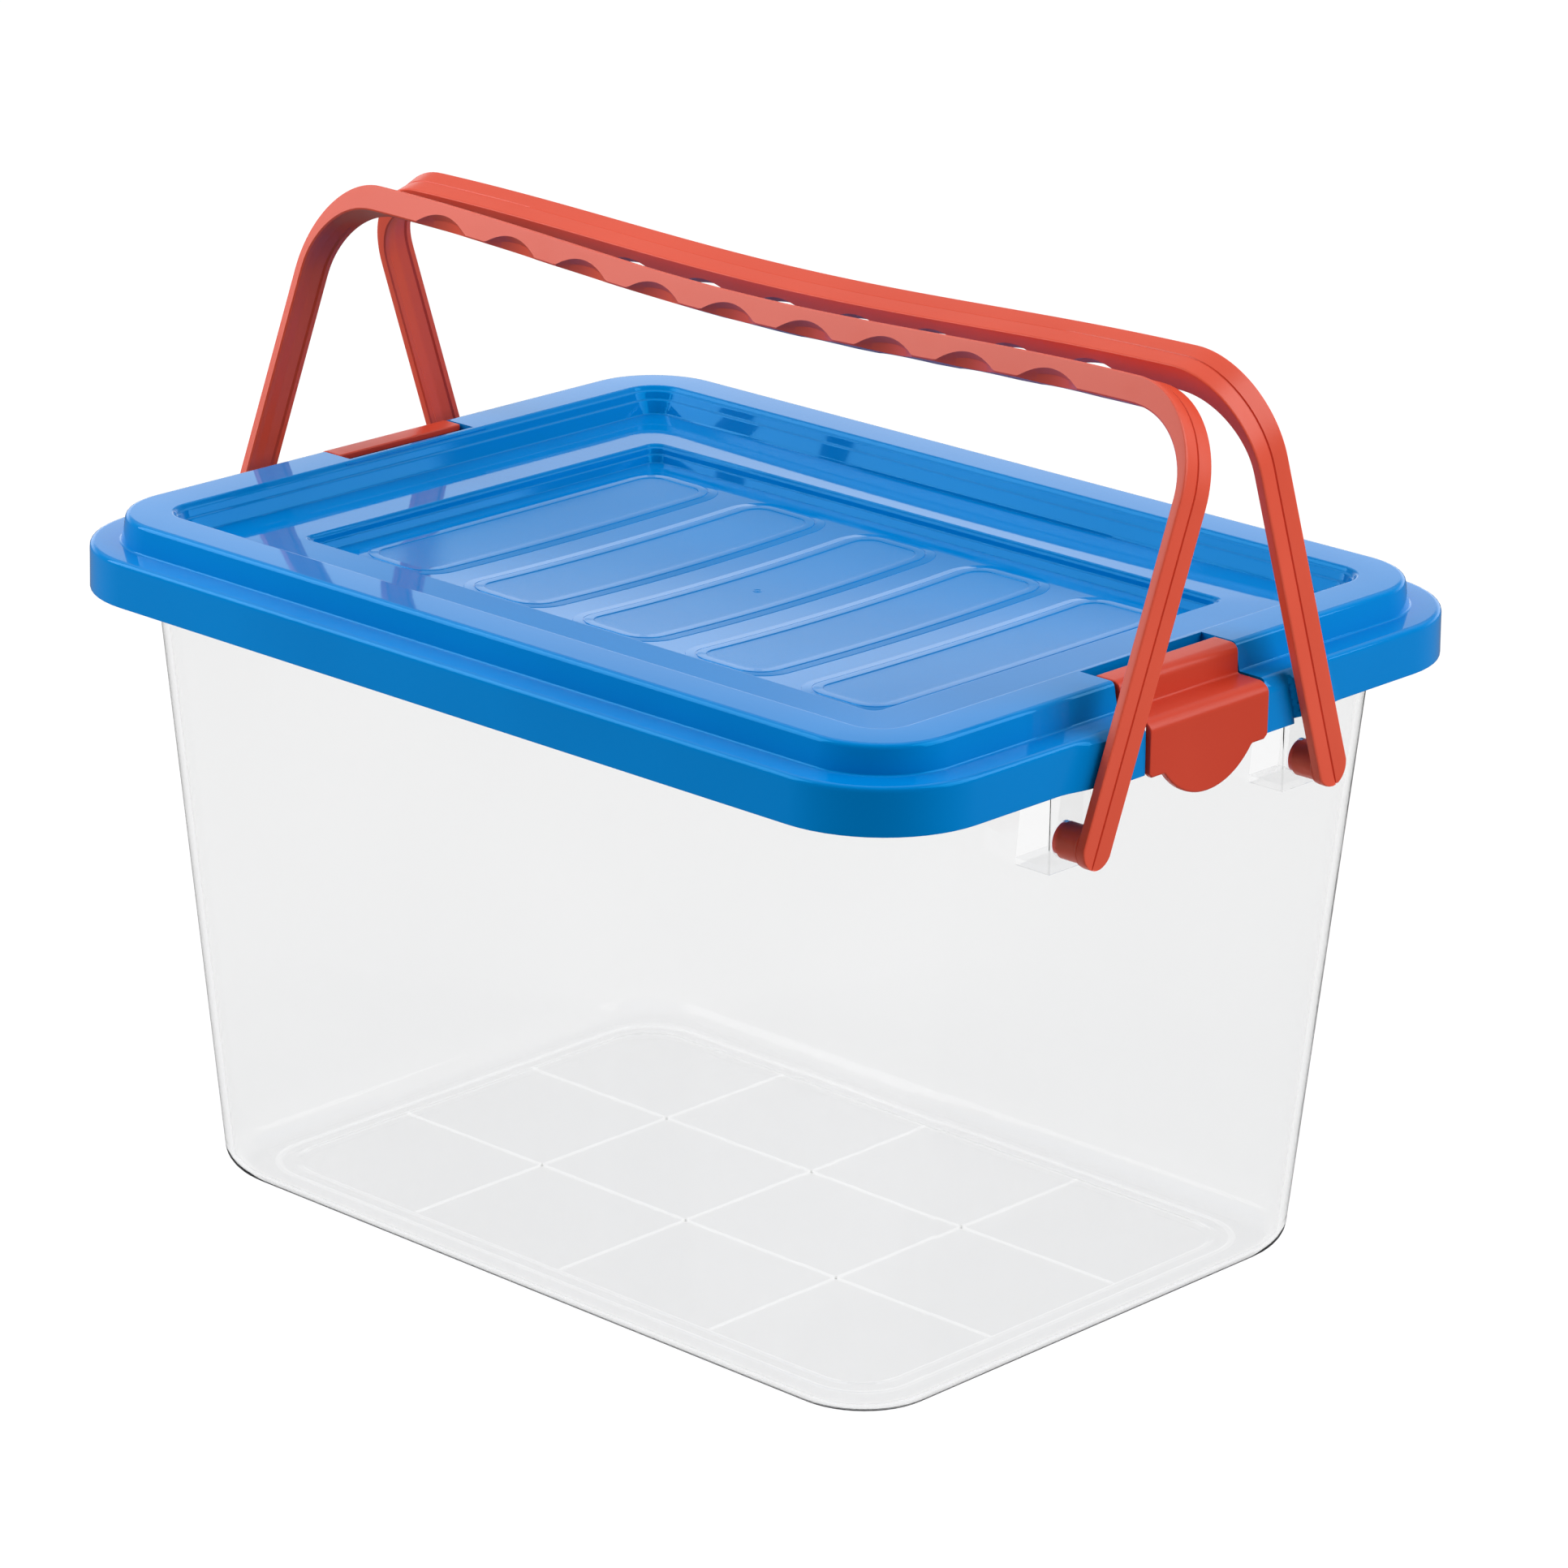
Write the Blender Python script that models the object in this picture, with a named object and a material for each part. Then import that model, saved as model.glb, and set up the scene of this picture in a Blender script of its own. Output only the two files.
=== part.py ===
"""Clear storage box with a snap lid, two latches and two bail handles. Metres, +Z up."""
import bpy
import math

for old in list(bpy.data.objects):
    bpy.data.objects.remove(old, do_unlink=True)

MM = 0.001

# ------------------------------------------------------------------ sizes, in millimetres
CORNER_STEPS = 8           # facets in each rounded corner

# Lid: half sizes are measured at the outside of the skirt.
LID_HALF_X, LID_HALF_Y, LID_CORNER = 200.0, 152.4, 42.0
SKIRT_BOTTOM, LEDGE_TOP, RIM_TOP = 218.7, 235.2, 245.0
SEAT_TOP, FLOOR_TOP = 235.6, 229.4
SKIN = 2.2                 # wall of the lid
PADS, PAD_PITCH, PAD_HALF_X, PAD_HALF_Y, PAD_CORNER = 5, 53.0, 21.0, 77.0, 14.0
CHANNEL_X = 198.0          # floor of the channel in the skirt that the handle leg leans over

# Box: half sizes at the foot, growing upwards with the draft.
BOX_HALF_X, BOX_HALF_Y, BOX_CORNER = 164.3, 116.6, 28.6
BOX_DRAFT = 18.0 / 218.7   # outward growth of each wall per unit of height
BOX_WALL, BOX_FLOOR = 2.0, 2.2
FOOT_RADIUS = 9.0
FLANGE_TOP, FLANGE_THICK, FLANGE_HALF_X = 232.7, 2.4, 196.3

# Pivot blocks and pins.
PIVOT_Y, PIVOT_Z = 59.5, 200.0
BLOCK_FACE_X, BLOCK_HALF, BLOCK_BOTTOM = 194.4, 9.8, 190.0
PIN_R, PIN_CLEAR, PIN_TIP_X, BORE_END_X = 6.25, 0.08, 185.0, 184.4

# Bail handles.
LEAN_FRONT, LEAN_REAR = math.radians(21.4), math.radians(18.6)
LEG_OUT_X, LEG_THICK, STRAP_HALF = 207.2, 3.6, 7.0
BEND_S, BEND_RX, BEND_RS = 113.0, 30.2, 36.0
GRIP_DEEP, GRIP_SAG = 9.2, 5.5
SCALLOPS, SCALLOP_PITCH, SCALLOP_HALF, SCALLOP_DEEP = 9, 35.4, 12.5, 4.5

# Latches.
LATCH_HALF, NOTCH_HALF, NOTCH_BACK_X = 30.0, 31.0, 172.5
HINGE_X, HINGE_Z, BARREL_R, HINGE_PIN_R = 181.4, 242.4, 2.3, 1.7
TONGUE_R, TONGUE_Z = 27.5, 232.0


# ------------------------------------------------------------------ materials
def plastic(name, colour, rough, alpha=1.0):
    mat = bpy.data.materials.new(name)
    mat.use_nodes = True
    bsdf = mat.node_tree.nodes["Principled BSDF"]
    bsdf.inputs["Base Color"].default_value = (*colour, 1.0)
    bsdf.inputs["Roughness"].default_value = rough
    bsdf.inputs["Metallic"].default_value = 0.0
    bsdf.inputs["Alpha"].default_value = alpha
    return mat


CLEAR = plastic("clear_plastic", (0.84, 0.86, 0.87), 0.25, 0.45)
BLUE = plastic("blue_plastic", (0.0, 0.13, 0.60), 0.15)
RED_FRONT = plastic("handle_plastic", (0.66, 0.10, 0.06), 0.42)
RED_REAR = plastic("handle_plastic_rear", (0.66, 0.10, 0.06), 0.42)
RED_LATCH = plastic("latch_plastic", (0.58, 0.06, 0.03), 0.4)
RED_LATCH_LEFT = plastic("latch_plastic_left", (0.58, 0.06, 0.03), 0.4)


# ------------------------------------------------------------------ mesh helpers
def make(name, verts, faces, mat=None, origin=(0.0, 0.0, 0.0)):
    """Mesh object from millimetre vertices, with its origin moved to a millimetre point."""
    ox, oy, oz = origin
    mesh = bpy.data.meshes.new(name)
    mesh.from_pydata([((x - ox) * MM, (y - oy) * MM, (z - oz) * MM) for x, y, z in verts], [], faces)
    mesh.validate()
    mesh.shade_smooth()
    mesh.set_sharp_from_angle(angle=math.radians(30.0))
    obj = bpy.data.objects.new(name, mesh)
    obj.location = (ox * MM, oy * MM, oz * MM)
    if mat:
        mesh.materials.append(mat)
    bpy.context.scene.collection.objects.link(obj)
    return obj


def ring(half_x, half_y, radius, z):
    """Rounded rectangle, counter-clockwise seen from above."""
    pts = []
    for sx, sy, start in ((1, 1, 0), (-1, 1, 90), (-1, -1, 180), (1, -1, 270)):
        for k in range(CORNER_STEPS + 1):
            a = math.radians(start + 90.0 * k / CORNER_STEPS)
            pts.append((sx * (half_x - radius) + radius * math.cos(a),
                        sy * (half_y - radius) + radius * math.sin(a), z))
    return pts


def skin(rings, cap_first=True, cap_last=True):
    """Join equal rings with quads, capping the ends."""
    count = len(rings[0])
    verts = [p for r in rings for p in r]
    faces = []
    for i in range(len(rings) - 1):
        a, b = i * count, (i + 1) * count
        faces += [(a + k, a + (k + 1) % count, b + (k + 1) % count, b + k) for k in range(count)]
    if cap_first:
        faces.append(tuple(reversed(range(count))))
    if cap_last:
        last = (len(rings) - 1) * count
        faces.append(tuple(last + k for k in range(count)))
    return verts, faces


def prism(name, outline, axis, lo, hi, mat=None, origin=(0.0, 0.0, 0.0)):
    """Flat outline pulled along one axis; the outline holds the other two coordinates in order."""
    area = sum(a[0] * b[1] - b[0] * a[1] for a, b in zip(outline, outline[1:] + outline[:1]))
    if (area > 0) == (axis == 1):
        outline = list(reversed(outline))
    place = {0: lambda u, v, w: (w, u, v), 1: lambda u, v, w: (u, w, v), 2: lambda u, v, w: (u, v, w)}[axis]
    rings = [[place(u, v, w) for u, v in outline] for w in (lo, hi)]
    return make(name, *skin(rings), mat, origin)


def disc(u, v, radius, steps):
    return [(u + radius * math.cos(2 * math.pi * (k + 0.5) / steps),
             v + radius * math.sin(2 * math.pi * (k + 0.5) / steps)) for k in range(steps)]


def combine(target, tool, how):
    """Boolean modifier; the tool stays in the file but is never exported."""
    tool.hide_render = True
    tool.display_type = "WIRE"
    mod = target.modifiers.new(tool.name, "BOOLEAN")
    mod.operation, mod.solver, mod.object = how, "EXACT", tool


def mirror_x(outline):
    return [(-x, z) for x, z in outline]


# ------------------------------------------------------------------ clear box
def box_ring(z, inset=0.0, lift=None):
    grow = BOX_DRAFT * (z if lift is None else lift) - inset
    return ring(BOX_HALF_X + grow, BOX_HALF_Y + grow, max(BOX_CORNER + grow * 0.5, 4.0), z)


flange_low = FLANGE_TOP - FLANGE_THICK
flange_out = FLANGE_HALF_X - BOX_HALF_X
box_rings = [box_ring(FOOT_RADIUS * (1 - math.cos(t)), FOOT_RADIUS * (1 - math.sin(t)))
             for t in (math.radians(d) for d in (0, 22.5, 45, 67.5, 90))]
box_rings += [box_ring(110.0), box_ring(flange_low),
              ring(FLANGE_HALF_X, BOX_HALF_Y + flange_out, LID_CORNER - 3.7, flange_low),
              ring(FLANGE_HALF_X, BOX_HALF_Y + flange_out, LID_CORNER - 3.7, FLANGE_TOP),
              box_ring(FLANGE_TOP, BOX_WALL), box_ring(110.0, BOX_WALL)]
inner_foot = FOOT_RADIUS - BOX_WALL
box_rings += [box_ring(BOX_FLOOR + inner_foot * (1 - math.cos(t)), BOX_WALL + inner_foot * (1 - math.sin(t)))
              for t in (math.radians(d) for d in (90, 60, 30, 0))]
box_body = make("box_body", *skin(box_rings), CLEAR)


def wall_x(z):
    return BOX_HALF_X + BOX_DRAFT * z


for end, side_x in (("right", 1), ("left", -1)):
    for row, side_y in (("front", -1), ("rear", 1)):
        block_top = FLANGE_TOP - 0.9
        outline = [(wall_x(BLOCK_BOTTOM) - 1.0, BLOCK_BOTTOM), (BLOCK_FACE_X, BLOCK_BOTTOM),
                   (BLOCK_FACE_X, block_top), (wall_x(block_top) - 1.0, block_top)]
        outline = outline if side_x > 0 else mirror_x(outline)
        mid = side_y * (PIVOT_Y - 0.8)
        combine(box_body, prism(f"tool_block_{end}_{row}", outline, 1, mid - BLOCK_HALF,
                                mid + BLOCK_HALF), "UNION")
        lo, hi = sorted((side_x * BORE_END_X, side_x * (BLOCK_FACE_X + 2.0)))
        combine(box_body, prism(f"tool_bore_{end}_{row}",
                                disc(side_y * PIVOT_Y, PIVOT_Z, PIN_R + PIN_CLEAR, 48), 0, lo, hi),
                "DIFFERENCE")


# ------------------------------------------------------------------ lid
def lid_ring(inset, z):
    radius = max(LID_CORNER - inset, 4.0)
    return ring(LID_HALF_X - inset, LID_HALF_Y - inset, radius, z)


LID_OUTSIDE = [(0.0, SKIRT_BOTTOM), (0.2, 232.6), (0.9, 234.3), (2.6, LEDGE_TOP), (10.6, LEDGE_TOP),
               (11.4, 236.0), (13.0, 243.6), (13.5, 244.6), (14.4, RIM_TOP), (29.0, RIM_TOP),
               (29.6, 244.2), (30.5, 243.9), (31.0, 240.7), (32.1, 240.4), (34.6, SEAT_TOP),
               (64.5, SEAT_TOP), (65.0, 234.9), (65.7, 234.6), (66.1, 232.2), (66.8, 231.9),
              (67.6, FLOOR_TOP)]
LID_INSIDE = [(66.2, FLOOR_TOP - SKIN), (63.2, SEAT_TOP - SKIN), (33.6, SEAT_TOP - SKIN),
              (30.6, 238.6), (28.4, 241.6), (26.9, RIM_TOP - SKIN), (16.4, RIM_TOP - SKIN),
              (15.0, 242.0), (13.2, LEDGE_TOP - SKIN), (3.4, LEDGE_TOP - SKIN),
              (SKIN, 231.6), (SKIN, SKIRT_BOTTOM)]
lid_rings = [lid_ring(*p) for p in LID_OUTSIDE] + [lid_ring(*p) for p in LID_INSIDE]
verts, faces = skin(lid_rings, False, False)
per_ring = len(lid_rings[0])
floor_at = (len(LID_OUTSIDE) - 1) * per_ring
faces = [f for f in faces if not (min(f) >= floor_at and max(f) < floor_at + 2 * per_ring)]
faces.append(tuple(floor_at + k for k in range(per_ring)))
faces.append(tuple(reversed([floor_at + per_ring + k for k in range(per_ring)])))
lip_at = (len(lid_rings) - 1) * per_ring
faces += [(lip_at + k, lip_at + (k + 1) % per_ring, (k + 1) % per_ring, k) for k in range(per_ring)]
lid = make("lid", verts, faces, BLUE)

# Five shallow pads side by side on the floor of the lid.
for index in range(PADS):
    centre = (index - (PADS - 1) / 2) * PAD_PITCH
    pad = [[(x + centre, y, z) for x, y, z in ring(PAD_HALF_X - inset, PAD_HALF_Y - inset,
                                                   PAD_CORNER - inset, z)]
           for inset, z in ((0.0, FLOOR_TOP - 1.0), (0.0, FLOOR_TOP + 0.1), (3.7, FLOOR_TOP + 0.7))]
    combine(lid, make(f"tool_pad_{index}", *skin(pad)), "UNION")

for end, side in (("right", 1), ("left", -1)):
    flip = (lambda pts: pts) if side > 0 else mirror_x

    def span(lo, hi, s=side):
        return sorted((s * lo, s * hi))

    # Pocket for the latch hinge, moulded into the hollow rim.
    pocket = flip([(169.8, 236.2), (186.3, 236.2), (186.3, 244.4), (169.8, 244.4)])
    combine(lid, prism(f"tool_pocket_{end}", pocket, 1, -34.6, 34.6), "UNION")
    room = flip([(NOTCH_BACK_X, 238.0), (189.5, 238.0), (189.5, 247.0), (NOTCH_BACK_X, 247.0)])
    combine(lid, prism(f"tool_room_{end}", room, 1, -NOTCH_HALF, NOTCH_HALF), "DIFFERENCE")
    gate = flip([(186.3, 210.0), (206.0, 210.0), (206.0, 248.0), (186.3, 248.0)])
    combine(lid, prism(f"tool_gate_{end}", gate, 1, -NOTCH_HALF, NOTCH_HALF), "DIFFERENCE")
    axle = disc(side * HINGE_X, HINGE_Z, HINGE_PIN_R + PIN_CLEAR, 24)
    combine(lid, prism(f"tool_axle_{end}", axle, 1, -33.5, 33.5), "DIFFERENCE")
    for row, s in (("front", -1), ("rear", 1)):
        # Raised cheek beside the latch, then a channel that follows the leaning leg, with the
        # skirt thickened behind it.
        cheek = [(s * NOTCH_HALF, 216.4), (s * 47.0, 216.4), (s * 41.5, 232.6), (s * NOTCH_HALF, 232.6)]
        combine(lid, prism(f"tool_cheek_{end}_{row}", cheek, 0, *span(198.6, 201.2)), "UNION")
        backing = [(s * 45.0, SKIRT_BOTTOM), (s * 68.0, SKIRT_BOTTOM), (s * 61.0, 233.6), (s * 40.0, 233.6)]
        combine(lid, prism(f"tool_backing_{end}_{row}", backing, 0, *span(196.7, 198.4)), "UNION")
        channel = [(s * 48.4, 213.0), (s * 65.5, 213.0), (s * 57.5, 234.2), (s * 41.9, 234.2)]
        combine(lid, prism(f"tool_channel_{end}_{row}", channel, 0, *span(CHANNEL_X, 203.0)), "DIFFERENCE")


# ------------------------------------------------------------------ latches
LATCH_OUTLINE = [(178.7, 245.0), (186.2, 245.0), (188.5, 243.3), (189.2, 241.2), (189.2, 234.9),
                 (198.9, 234.9), (201.6, 233.6), (202.6, 231.2), (202.6, 216.6), (201.7, 215.6),
                 (200.1, 215.6), (200.1, 226.4), (197.2, 227.8), (197.2, 229.7), (200.1, 229.7),
                 (200.1, 231.8), (199.0, 233.0), (186.8, 233.0), (186.8, 242.6), (178.7, 242.6)]
for end, side in (("right", 1), ("left", -1)):
    flip = (lambda pts: pts) if side > 0 else mirror_x
    pivot = (side * HINGE_X, 0.0, HINGE_Z)
    latch = prism(f"latch_{end}", flip(LATCH_OUTLINE), 1, -LATCH_HALF, LATCH_HALF,
                  RED_LATCH if side > 0 else RED_LATCH_LEFT, pivot)
    # The thumb tongue is the lower part of a disc.
    steps = 32
    low = TONGUE_Z - 12.0
    reach = math.acos((TONGUE_Z - low) / TONGUE_R)
    tongue = [(TONGUE_R * math.sin(a), TONGUE_Z - TONGUE_R * math.cos(a))
              for a in (-reach + 2 * reach * k / steps for k in range(steps + 1))]
    combine(latch, prism(f"tool_tongue_{end}", tongue, 0, *sorted((side * 200.3, side * 202.4))), "UNION")
    barrel = disc(side * HINGE_X, HINGE_Z, BARREL_R, 16)
    combine(latch, prism(f"tool_barrel_{end}", barrel, 1, -LATCH_HALF + 0.4, LATCH_HALF - 0.4), "UNION")
    axle = disc(side * HINGE_X, HINGE_Z, HINGE_PIN_R, 24)
    combine(latch, prism(f"tool_hinge_pin_{end}", axle, 1, -33.0, 33.0), "UNION")


# ------------------------------------------------------------------ bail handles
def grip_s(x):
    """Height of the outside of the grip above the pins, measured along the handle."""
    top = BEND_S + BEND_RS
    half = LEG_OUT_X - BEND_RX
    return top - GRIP_SAG * 0.5 * (1 + math.cos(math.pi * x / half))


def handle_stations():
    """(x, s, inward x, inward s, depth, scallop) from the right pin over the grip to the left pin."""
    half = LEG_OUT_X - BEND_RX
    out = [(LEG_OUT_X, s, -1.0, 0.0, LEG_THICK, 0.0) for s in (0.0, 40.0, 80.0, BEND_S)]
    for k in range(1, 11):
        a = math.radians(9.0 * k)
        depth = LEG_THICK + (7.4 - LEG_THICK) * k / 10
        out.append((half + BEND_RX * math.cos(a), BEND_S + BEND_RS * math.sin(a),
                    -math.cos(a), -math.sin(a), depth, 0.0))
    for index in range((SCALLOPS - 1) // 2, -1, -1):
        for step in range(8, -9, -2):
            x = index * SCALLOP_PITCH + SCALLOP_HALF * step / 8
            if x < -0.001:
                continue
            cut = SCALLOP_DEEP * (1 - (step / 8) ** 2)
            out.append((x, grip_s(x), 0.0, -1.0, GRIP_DEEP, cut))
    return out + [(-x, s, -ix, is_, d, c) for x, s, ix, is_, d, c in reversed(out) if x > 0.001]


def build_handle(name, mat, side_y, lean):
    pivot = (0.0, side_y * PIVOT_Y, PIVOT_Z)
    along = (-side_y * math.sin(lean), math.cos(lean))      # y and z of the way up the handle
    across = (side_y * math.cos(lean), math.sin(lean))      # y and z of the way out of its face
    rings = []
    for x, s, in_x, in_s, depth, cut in handle_stations():
        bevel = 0.6 + cut
        foot = STRAP_HALF - 0.6 - 5.2 * cut / SCALLOP_DEEP
        vee = 1.1 if depth < 5.0 else 0.0
        section = [(STRAP_HALF, 0.6), (STRAP_HALF - 0.6, 0.0), (0.0, 0.25), (0.6 - STRAP_HALF, 0.0),
                   (-STRAP_HALF, 0.6), (-STRAP_HALF, depth - bevel), (-foot, depth),
                   (0.0, depth - vee), (foot, depth), (STRAP_HALF, depth - bevel)]
        rings.append([(x + in_x * t, pivot[1] + (s + in_s * t) * along[0] + n * across[0],
                       pivot[2] + (s + in_s * t) * along[1] + n * across[1]) for n, t in section])
    if side_y > 0:
        rings = [list(reversed(r)) for r in rings]
    obj = make(name, *skin(rings), mat, pivot)
    for end, side_x in (("right", 1), ("left", -1)):
        boss = sorted((side_x * (LEG_OUT_X - LEG_THICK - 0.2), side_x * (LEG_OUT_X - 0.2)))
        combine(obj, prism(f"tool_boss_{name}_{end}", disc(pivot[1], PIVOT_Z, 7.2, 32), 0, *boss), "UNION")
        pin = sorted((side_x * PIN_TIP_X, side_x * (LEG_OUT_X - 1.4)))
        combine(obj, prism(f"tool_pin_{name}_{end}", disc(pivot[1], PIVOT_Z, PIN_R, 48), 0, *pin), "UNION")
    return obj


build_handle("handle_front", RED_FRONT, -1, LEAN_FRONT)
build_handle("handle_rear", RED_REAR, 1, LEAN_REAR)
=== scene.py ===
# %% [markdown]
# A clear storage box with a blue snap lid, two red latches and two red bail handles.
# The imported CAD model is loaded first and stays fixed. Every piece below takes its place from
# it, rides on one of its bodies and stands in for one of its nodes with a finer shape.

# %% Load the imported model
import math
import bpy
import bmesh
from mathutils import Matrix, Vector


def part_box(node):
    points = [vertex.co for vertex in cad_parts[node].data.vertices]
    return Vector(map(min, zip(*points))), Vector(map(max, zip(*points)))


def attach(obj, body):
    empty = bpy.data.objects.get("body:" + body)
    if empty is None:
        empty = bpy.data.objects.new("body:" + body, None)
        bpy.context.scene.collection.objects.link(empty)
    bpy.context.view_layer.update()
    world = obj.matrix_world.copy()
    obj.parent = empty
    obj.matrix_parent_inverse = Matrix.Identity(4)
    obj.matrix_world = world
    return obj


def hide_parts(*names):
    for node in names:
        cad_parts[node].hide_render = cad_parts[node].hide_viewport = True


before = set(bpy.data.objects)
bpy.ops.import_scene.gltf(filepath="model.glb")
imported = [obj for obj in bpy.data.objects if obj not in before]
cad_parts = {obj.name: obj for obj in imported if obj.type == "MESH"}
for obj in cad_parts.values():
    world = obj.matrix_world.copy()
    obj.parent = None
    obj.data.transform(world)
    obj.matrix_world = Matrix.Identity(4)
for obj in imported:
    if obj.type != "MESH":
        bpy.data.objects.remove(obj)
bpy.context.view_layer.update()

MM = 0.001

# %% [markdown]
# The boxes of the CAD nodes give the sizes that the pieces are drawn to. Lengths in this file
# are millimetres, because a moulding is drawn in millimetres; the meshes are scaled at the end.

# %% Sizes read from the model
def node_size(name):
    """Lowest and highest corner of a CAD node, in millimetres."""
    low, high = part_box(name)
    return [v / MM for v in low], [v / MM for v in high]


lid_low, lid_high = node_size("lid")
box_high, grip_high = node_size("box_body")[1], node_size("handle_front")[1]

LID_X, LID_Y, LID_R = lid_high[0] - 1.2, lid_high[1], 42.0
RIM_TOP, SKIRT_LOW = lid_high[2], lid_low[2] + 2.3
PIVOT_Y, PIVOT_Z = 59.5, 200.0
print(f"lid {2 * LID_X:.1f} x {2 * LID_Y:.1f} mm, rim at {RIM_TOP:.1f}, skirt down to {SKIRT_LOW:.1f}")

# %% [markdown]
# Moulded plastic has no sharp corner anywhere. Most of the pieces are a profile carried round a
# rounded rectangle, so two small helpers do most of the drawing: one rounds the corners of a
# profile, and one walks round a rounded rectangle with the same number of points each time.

# %% Profile and loop helpers
def soften(points, steps=4):
    """Round the corners of an open profile; each point is (a, b, radius)."""
    out = [points[0][:2]]
    for before, here, after in zip(points, points[1:], points[2:]):
        p, a, b = Vector(here[:2]), Vector(before[:2]), Vector(after[:2])
        if here[2] <= 0:
            out.append(tuple(p))
            continue
        back, ahead = a - p, b - p
        cut = min(here[2], 0.48 * back.length, 0.48 * ahead.length)
        start, end = p + back.normalized() * cut, p + ahead.normalized() * cut
        for k in range(steps + 1):
            t = k / steps
            q = start * (1 - t) ** 2 + p * 2 * t * (1 - t) + end * t ** 2
            out.append(tuple(q))
    return out + [points[-1][:2]]


def loop(half_x, half_y, radius, z, ends=(-1, 1), sides=(-1, 1), steps=8):
    """Rounded rectangle, anticlockwise from above, starting on its +X end."""
    run_x, run_y = half_x - radius, half_y - radius
    pts = [(half_x, run_y * f, z) for f in ends]
    for start, straight in ((0, [(-run_x * f, half_y) for f in sides]),
                            (90, [(-half_x, -run_y * f) for f in ends]),
                            (180, [(run_x * f, -half_y) for f in sides]), (270, [])):
        cx = run_x if start in (0, 270) else -run_x
        cy = run_y if start < 180 else -run_y
        for k in range(1, steps):
            a = math.radians(start + 90.0 * k / steps)
            pts.append((cx + radius * math.cos(a), cy + radius * math.sin(a), z))
        pts += [(x, y, z) for x, y in straight]
    return pts


def smooth_step(v, low, high):
    """0 below low, 1 above high, and an even curve between them; low may be the larger."""
    t = min(max((v - low) / (high - low), 0.0), 1.0)
    return t * t * (3 - 2 * t)


def loft(rings, close_rings=True, cap_first=True, cap_last=True, closed_path=False):
    """Vertices and faces of equal rings joined in order."""
    n = len(rings[0])
    verts = [p for r in rings for p in r]
    faces = []
    spans = len(rings) if closed_path else len(rings) - 1
    for i in range(spans):
        a, b = i * n, ((i + 1) % len(rings)) * n
        for k in range(n if close_rings else n - 1):
            m = (k + 1) % n
            faces.append((a + k, a + m, b + m, b + k))
    if cap_first and not closed_path:
        faces.append(tuple(reversed(range(n))))
    if cap_last and not closed_path:
        faces.append(tuple((len(rings) - 1) * n + k for k in range(n)))
    return verts, faces


SHARP = 32.0


def new_object(name, data):
    """Object in the scene for a mesh, a lamp or a camera."""
    obj = bpy.data.objects.new(name, data)
    bpy.context.scene.collection.objects.link(obj)
    return obj


def smooth(mesh, sharp=SHARP):
    """Shade smooth, with every edge sharper than an angle in degrees kept as an edge."""
    mesh.shade_smooth()
    mesh.set_sharp_from_angle(angle=math.radians(sharp))


def to_object(name, parts, sharp=SHARP):
    """One mesh object in metres from (vertices, faces) parts in millimetres, shaded smooth."""
    verts, faces = [], []
    for v, f in parts:
        base = len(verts)
        verts += [(x * MM, y * MM, z * MM) for x, y, z in v]
        faces += [tuple(i + base for i in face) for face in f]
    mesh = bpy.data.meshes.new(name)
    mesh.from_pydata(verts, [], faces)
    mesh.validate()
    work = bmesh.new()
    work.from_mesh(mesh)
    bmesh.ops.recalc_face_normals(work, faces=work.faces)
    work.to_mesh(mesh)
    work.free()
    smooth(mesh, sharp)
    return new_object(name, mesh)


def bake_modifiers(obj):
    """Replace an object's mesh with its evaluated mesh and drop the modifiers."""
    mesh = bpy.data.meshes.new_from_object(obj.evaluated_get(bpy.context.evaluated_depsgraph_get()))
    old = obj.data
    obj.modifiers.clear()
    obj.data = mesh
    bpy.data.meshes.remove(old)
    mesh.name = obj.name


def cut_or_join(target, tool, how):
    """Boolean with a tool that is thrown away afterwards."""
    mod = target.modifiers.new("boolean", "BOOLEAN")
    mod.operation, mod.solver, mod.object = how, "EXACT", tool
    bake_modifiers(target)
    smooth(target.data)
    bpy.data.objects.remove(tool, do_unlink=True)


def settle_normals(obj):
    """Large faces decide the shading, so flats stay flat right up to their small rounds."""
    mod = obj.modifiers.new("weighted", "WEIGHTED_NORMAL")
    mod.keep_sharp, mod.weight = True, 90
    bake_modifiers(obj)


def slab(name, low, high):
    """Plain box used only as a cutting tool."""
    (x0, y0, z0), (x1, y1, z1) = low, high
    rings = [[(x0, y0, z), (x1, y0, z), (x1, y1, z), (x0, y1, z)] for z in (z0, z1)]
    return to_object(name, [loft(rings)])


def rod(u, v, radius, lo, hi, axis, steps=40, chamfer=0.5):
    """Round bar along X or Y with chamfered ends, as (vertices, faces)."""
    rings = []
    narrow = radius - chamfer
    for w, r in ((lo, narrow), (lo + chamfer, radius), (hi - chamfer, radius), (hi, narrow)):
        circle = [(u + r * math.cos(math.tau * k / steps), v + r * math.sin(math.tau * k / steps))
                  for k in range(steps)]
        rings.append([(w, a, b) if axis == "X" else (a, w, b) for a, b in circle])
    return loft(rings)


print("helpers ready")

# %% [markdown]
# Finishes. Three effects are shared by more than one plastic, so each is a small node group:
# moulding grain (fine bumps with a slow colour drift), handling dust and scuffs (a mask that
# lifts the roughness a little), and the sink marks that ribs leave on the face above them.

# %% Node helpers
def first_out(source):
    """An output as it is; a node stands for its first output."""
    return getattr(source, "outputs", (source,))[0]


def add(tree, kind, place, feeds=None, **settings):
    """Add a node, set its options, and link a source to each input that feeds names."""
    node = tree.nodes.new(kind)
    node.location = place
    for key, value in settings.items():
        setattr(node, key, value)
    for label, source in (feeds or {}).items():
        tree.links.new(first_out(source), node.inputs[label])
    return node


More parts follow.
